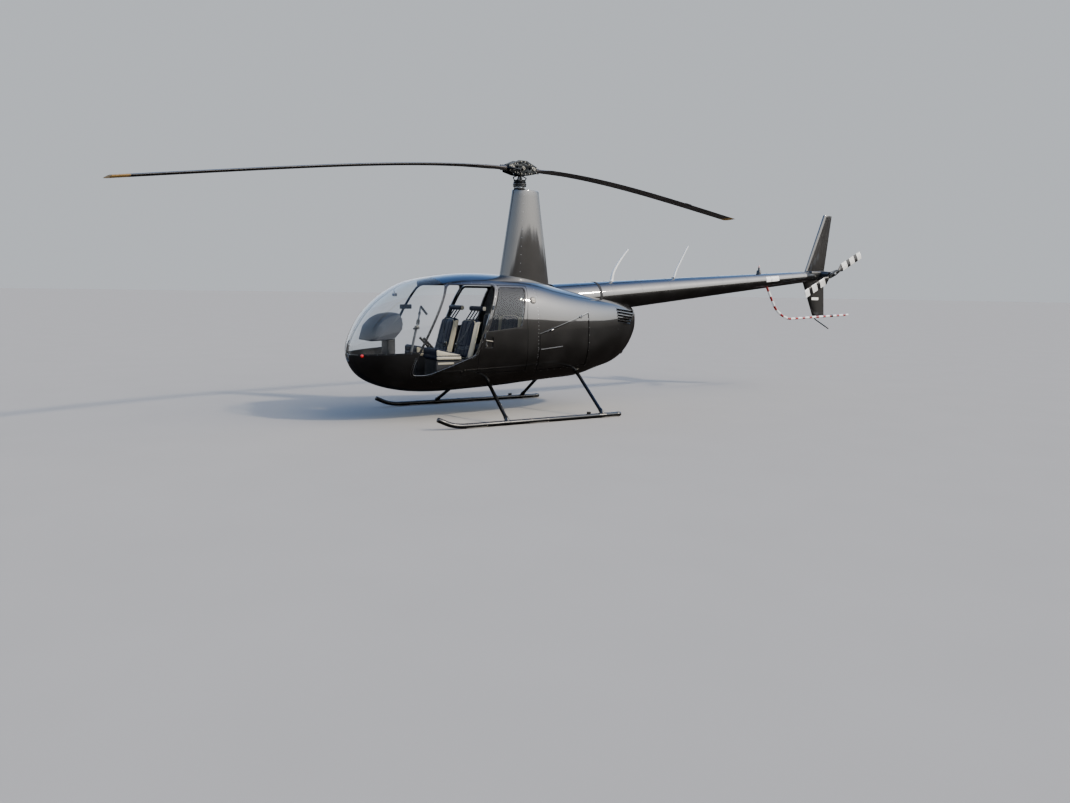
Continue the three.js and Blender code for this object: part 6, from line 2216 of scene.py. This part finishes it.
# Trim of the body
trim = {
    "windshieldEdge": [(-1330, 1738), (-1264, 1660), (-1655, 858), (-2290, 829)],
    "sillTop": 832, "sillStuds": [(-1109, 617), (-1066, 635)],
    "latch": [(-822, 905), (-712, 905), (-700, 1042), (-798, 1042)],
    "handle": (-806, -716), "handleZ": 1000, "lockZ": 935,
    "fuelCap": (-112, 1492), "drain": (1389, 1103), "legCollar": (702, 548),
    "cowlStrip": [(-8, 869), (336, 900)],
    "tab": [(1585, 742), (1618, 752), (1618, 776), (1590, 780)],
    "screwPitch": 62,
}
turnings = {
    "sillStud": [(-2, 10), (4, 10), (6, 6), (6, 0.5)],
    "lock": [(0, 13), (11, 13), (14, 10), (14, 0.5)],
    "fuelCap": [(-4, 46), (3, 46), (5, 42), (5, 34), (9, 33), (13, 30), (13, 0.5)],
    "drain": [(-2, 12), (2, 12), (2, 7), (-4, 6), (-4, 0.5)],
    "legCollar": [(-6, 26), (-6, 40), (3, 40), (5, 36), (5, 26)],
    "bowl": [(0, 40), (10, 38), (26, 27), (36, 12), (40, 0.5), (44, 0.5), (40, 14), (30, 30),
             (12, 41), (0, 41.5)],
    "bulb": [(14, 0.5), (15, 6), (30, 7), (40, 5)],
}


def screwsAlong(outline, side, pitch, lift=0.5, closed=False, radius=0):
    ring = spread(roundedOutline(outline, radius) if radius else outline, pitch, closed)
    return [onSkin(y, z, side, lift) for y, z in ring if skinX(y, z) > 1]


def noseY(x, z):
    # How far forward the nose is at one place across and up
    low, high = -2354.0, -2000.0
    for _ in range(40):
        middle = (low + high) / 2
        low, high = (middle, high) if skinX(middle, z) < max(abs(x), 1) else (low, middle)
    return low


def buildLandingLight():
    ring, normals = [], []
    for a in around(48):
        x, z = 46 * math.cos(a), lamp["z"] + 46 * math.sin(a)
        ring.append(mm(x, noseY(x, z) + 0.5, z))
        normals.append(Vector((x * 0.004, -1, (z - 868) * 0.004)).normalized())
    pieces = [ribbon("bezel", ring, normals, 9, 2.2, looks["aluminium"], closed=True, sink=2)]
    behind = (0, noseY(0, lamp["z"]) + 16, lamp["z"])
    pieces.append(turned("bowl", turnings["bowl"], behind, (0, 1, 0), looks["reflector"], 48))
    pieces.append(turned("bulb", turnings["bulb"], behind, (0, 1, 0), looks["dialWhite"], 24))
    place(joinPieces("landingLightUnit", pieces), "airframe", "aluminium")


def buildCabinTrim(name, side):
    edge, doorway = trim["windshieldEdge"], openings["frontDoorway"]
    pieces = [skinRibbon("post", edge[1:3], side, 20, 1.8, looks["satin"], closed=False, spacing=12),
              skinRibbon("coaming", edge[2:], side, 20, 1.8, looks["satin"], closed=False, spacing=12)]
    screws = screwsAlong(edge[:3], side, trim["screwPitch"], 1.8) + screwsAlong(edge[2:], side, 85, 1.8)
    seal = roundedOutline(grown(doorway, 5), fuselage["corners"]["frontDoorway"] + 2)
    pieces.append(skinRibbon("doorSeal", seal, side, 8, 1.6, looks["rubber"], spacing=18))
    low = [p for p in seal if p[1] < trim["sillTop"]]
    first = max(range(len(low)), key=lambda i: math.dist(low[i], low[i - 1]))
    pieces.append(skinRibbon("sill", low[first:] + low[:first], side, 6, 3.0, looks["aluminium"],
                             closed=False, spacing=16))
    screws += screwsAlong(grown(doorway, 24), side, 120, 0.4, True, 70)
    screws += [onSkin(fuselage["cabinEnd"] - 12, z, side, 0.3) for z in np.arange(620, 1720, 46)]
    for y, z in trim["sillStuds"]:
        pieces.append(spun("sillStud", turnings["sillStud"], *onSkin(y, z, side), looks["boltSteel"], 24))
    pieces.append(fasteners("cabinScrews", screws, 4.2, 1.3, looks["screwSteel"]))
    place(joinPieces(f"cabinTrim_{name}", pieces), "airframe", "satin_black_paint")


def buildDoorTrim(name, side):
    window = openings["rearWindow"]
    pieces = [skinRibbon("windowSeal", grown(window, 5), side, 16, 1.8, looks["rubber"], 42, spacing=16)]
    pieces.append(skinPatch("latchPlate", grown(trim["latch"], -1), side, -12, 4, looks["plastic"], 14))
    start, end = trim["handle"]
    handle = [onSkin(y, trim["handleZ"] - 0.15 * (y - start), side, -2)[0] for y in np.linspace(start, end, 8)]
    pieces.append(tube("handle", handle, 0.006, looks["boltSteel"], 20))
    pieces.append(spun("lock", turnings["lock"], *onSkin(start + 12, trim["lockZ"], side, -11),
                       looks["boltSteel"], 28))
    rivets = screwsAlong(grown(openings["rearDoor"], -15), side, 44, 0.2, True, 30)
    rivets += screwsAlong(grown(window, 20), side, 58, 0.2, True, 46)
    pieces.append(fasteners("doorRivets", rivets, 2.8, 1.0, looks["enamel"]))
    place(joinPieces(f"rearDoorTrim_{name}", pieces), f"rear_door_{name}", "satin_black_paint")


def cowlLineZ(y):
    return openings["cowlLine"]["height"] + openings["cowlLine"]["slope"] * y


def buildCowlTrim(name, side):
    line = openings["cowlLine"]
    upper = [(y, cowlLineZ(y) + 17) for y in (line["start"] - 6, line["end"] + 10)]
    pieces = [skinRibbon("hinge", upper, side, 6, 1.2, looks["steel"], closed=False, spacing=20)]
    point, out = onSkin(*trim["fuelCap"], side)
    pieces.append(spun("fuelCap", turnings["fuelCap"], point, out, looks["satin"]))
    lever = out.cross(Vector((0, 0, 1))).normalized() * 0.022
    pieces.append(tube("capLever", [point + out * 0.015 - lever, point + out * 0.015 + lever], 0.004,
                       looks["boltSteel"], 16))
    rivets = [onSkin(y, z, side, 0.3) for y in (fuselage["cowlEnd"] - 5, fuselage["cowlEnd"] + 12)
              for z in np.arange(520, 1590, 52)]
    rivets += [onSkin(-24, z, side, 0.3) for z in np.arange(1080, 1720, 46)]
    rivets += [onSkin(y, cowlLineZ(y) + 34, side, 0.3) for y in np.arange(0, 780, 52)]
    pieces.append(fasteners("cowlRivets", rivets, 2.8, 1.0, looks["enamel"]))
    pieces.append(spun("drain", turnings["drain"], *onSkin(*trim["drain"], side), looks["rubber"], 28))
    pieces.append(skinPatch("tab", trim["tab"], side, 9, 14, looks["rubber"], 6))
    pieces.append(spun("legCollar", turnings["legCollar"], *onSkin(*trim["legCollar"], side),
                       looks["boltSteel"], 40))
    place(joinPieces(f"cowlTrim_{name}", pieces), "airframe", "satin_black_paint")


def buildSideCowlTrim(name, side):
    # Studs stay clear of the hinge line, so that they don't brush the tail cowl when the panel opens
    panel = grown(cowlOutline(openings["cowlLine"]["end"]), -20)
    studs = [onSkin(y, z, side, 0.6) for y, z in spread(panel[1:] + panel[:1], 105, False)
             if z < cowlLineZ(y) - 95]
    pieces = [fasteners("cowlStuds", studs, 5.5, 1.4, looks["screwSteel"]),
              skinRibbon("strip", trim["cowlStrip"], side, 9, 2.4, looks["aluminium"], closed=False)]
    place(joinPieces(f"sideCowlTrim_{name}", pieces), f"side_cowl_{name}", "black_paint")


def buildLouvreTrim(name, side):
    # A light grey metal lip along each slot as a painted highlight on the louvre edges, and a matt black field
    # between the slots as painted shade among the louvres
    pieces = []
    for i in range(louvre["count"]):
        slot = louvreSlot(i)
        (y0, z0), (y1, z1) = slot[0], slot[3]
        path = [onSkin(y, np.interp(y, (y0, y1), (z0, z1)) - 1, side, 0.5) for y in np.linspace(y0, y1, 16)]
        up = [Vector((0, 0.1, 1)).normalized()] * len(path)
        # Painted highlight along each louvre's edge
        pieces.append(ribbon("lip", [p + n * 0.003 for p, n in path], up, 17, 1.6, looks["louvreEdgeHighlight"]))
    for i in range(-1, louvre["count"]):
        slot, above = louvreSlot(i), louvreSlot(i + 1)
        strip = [(slot[1][0] - 4, slot[1][1] + 1), (above[0][0] - 4, above[0][1] - 1),
                 (above[3][0] + 4, above[3][1] - 1), (slot[2][0] + 4, slot[2][1] + 1)]
        pieces.append(skinPatch("field", strip, side, 0.9, 2.4, looks["louvreShadeBlack"], 0))
    place(joinPieces(f"louvreLips_{name}", pieces), "airframe", "black_paint")


def buildCentreStrip():
    screws = []
    for y in np.arange(-2250, -1400, 70):
        t = np.interp(y, fuselageRows[:, 0], np.arange(len(fuselageRows)))
        for x in (-13, 13):
            for _ in range(6):
                t += (y - fuselageRow(t)[0]) / 200
            screws.append((mm(x, y, fuselageRow(t)[1] - 0.5), Vector((0, -0.5, 0.86)).normalized()))
    place(fasteners("centreStripScrews", screws, 3.6, 1.3, looks["screwSteel"]), "airframe",
          "satin_black_paint")


def buildTrim():
    for name, side in sides.items():
        buildCabinTrim(name, side)
        buildDoorTrim(name, side)
        buildCowlTrim(name, side)
        buildSideCowlTrim(name, side)
        buildLouvreTrim(name, side)
    buildCentreStrip()
    buildLandingLight()
    print("trim built")


buildFuselage()
buildLandingGear()
buildFairing()
buildBoom()
buildMainRotor()
buildTailRotor()
buildFin("upperFin", tail["upperFin"], "upper_fin")
buildFin("lowerFin", tail["lowerFin"], "lower_fin")
buildStabilizer()
buildTailGearbox()
buildGuard()
buildTailTrim()
buildCabinLining()
for row in ("front", "rear"):
    for name, side in sides.items():
        buildSeat(row, name, side)
buildConsole()
buildCompass()
buildCyclic()
buildCollective()
buildPedals()
buildTrim()

# CAD pieces that show as they are get the finish of their own slot
slotLooks = {
    "black_paint": "enamel", "satin_black_paint": "satin", "blade_paint": "bladePaint",
    "clear_acrylic": "acrylic", "navy_leather": "navy", "dark_plastic": "plastic", "steel": "steel",
    "aluminium": "aluminium", "cast_metal": "cast", "white_paint": "white", "red_lens": "redLens",
    "clear_lens": "lens",
}
slotOf = {part["node"]: part["material_slot"] for part in frame["record"]["subparts"]}
for name, node in nodes.items():
    node.data.materials.clear()
    node.data.materials.append(looks[slotLooks[slotOf[name]]])
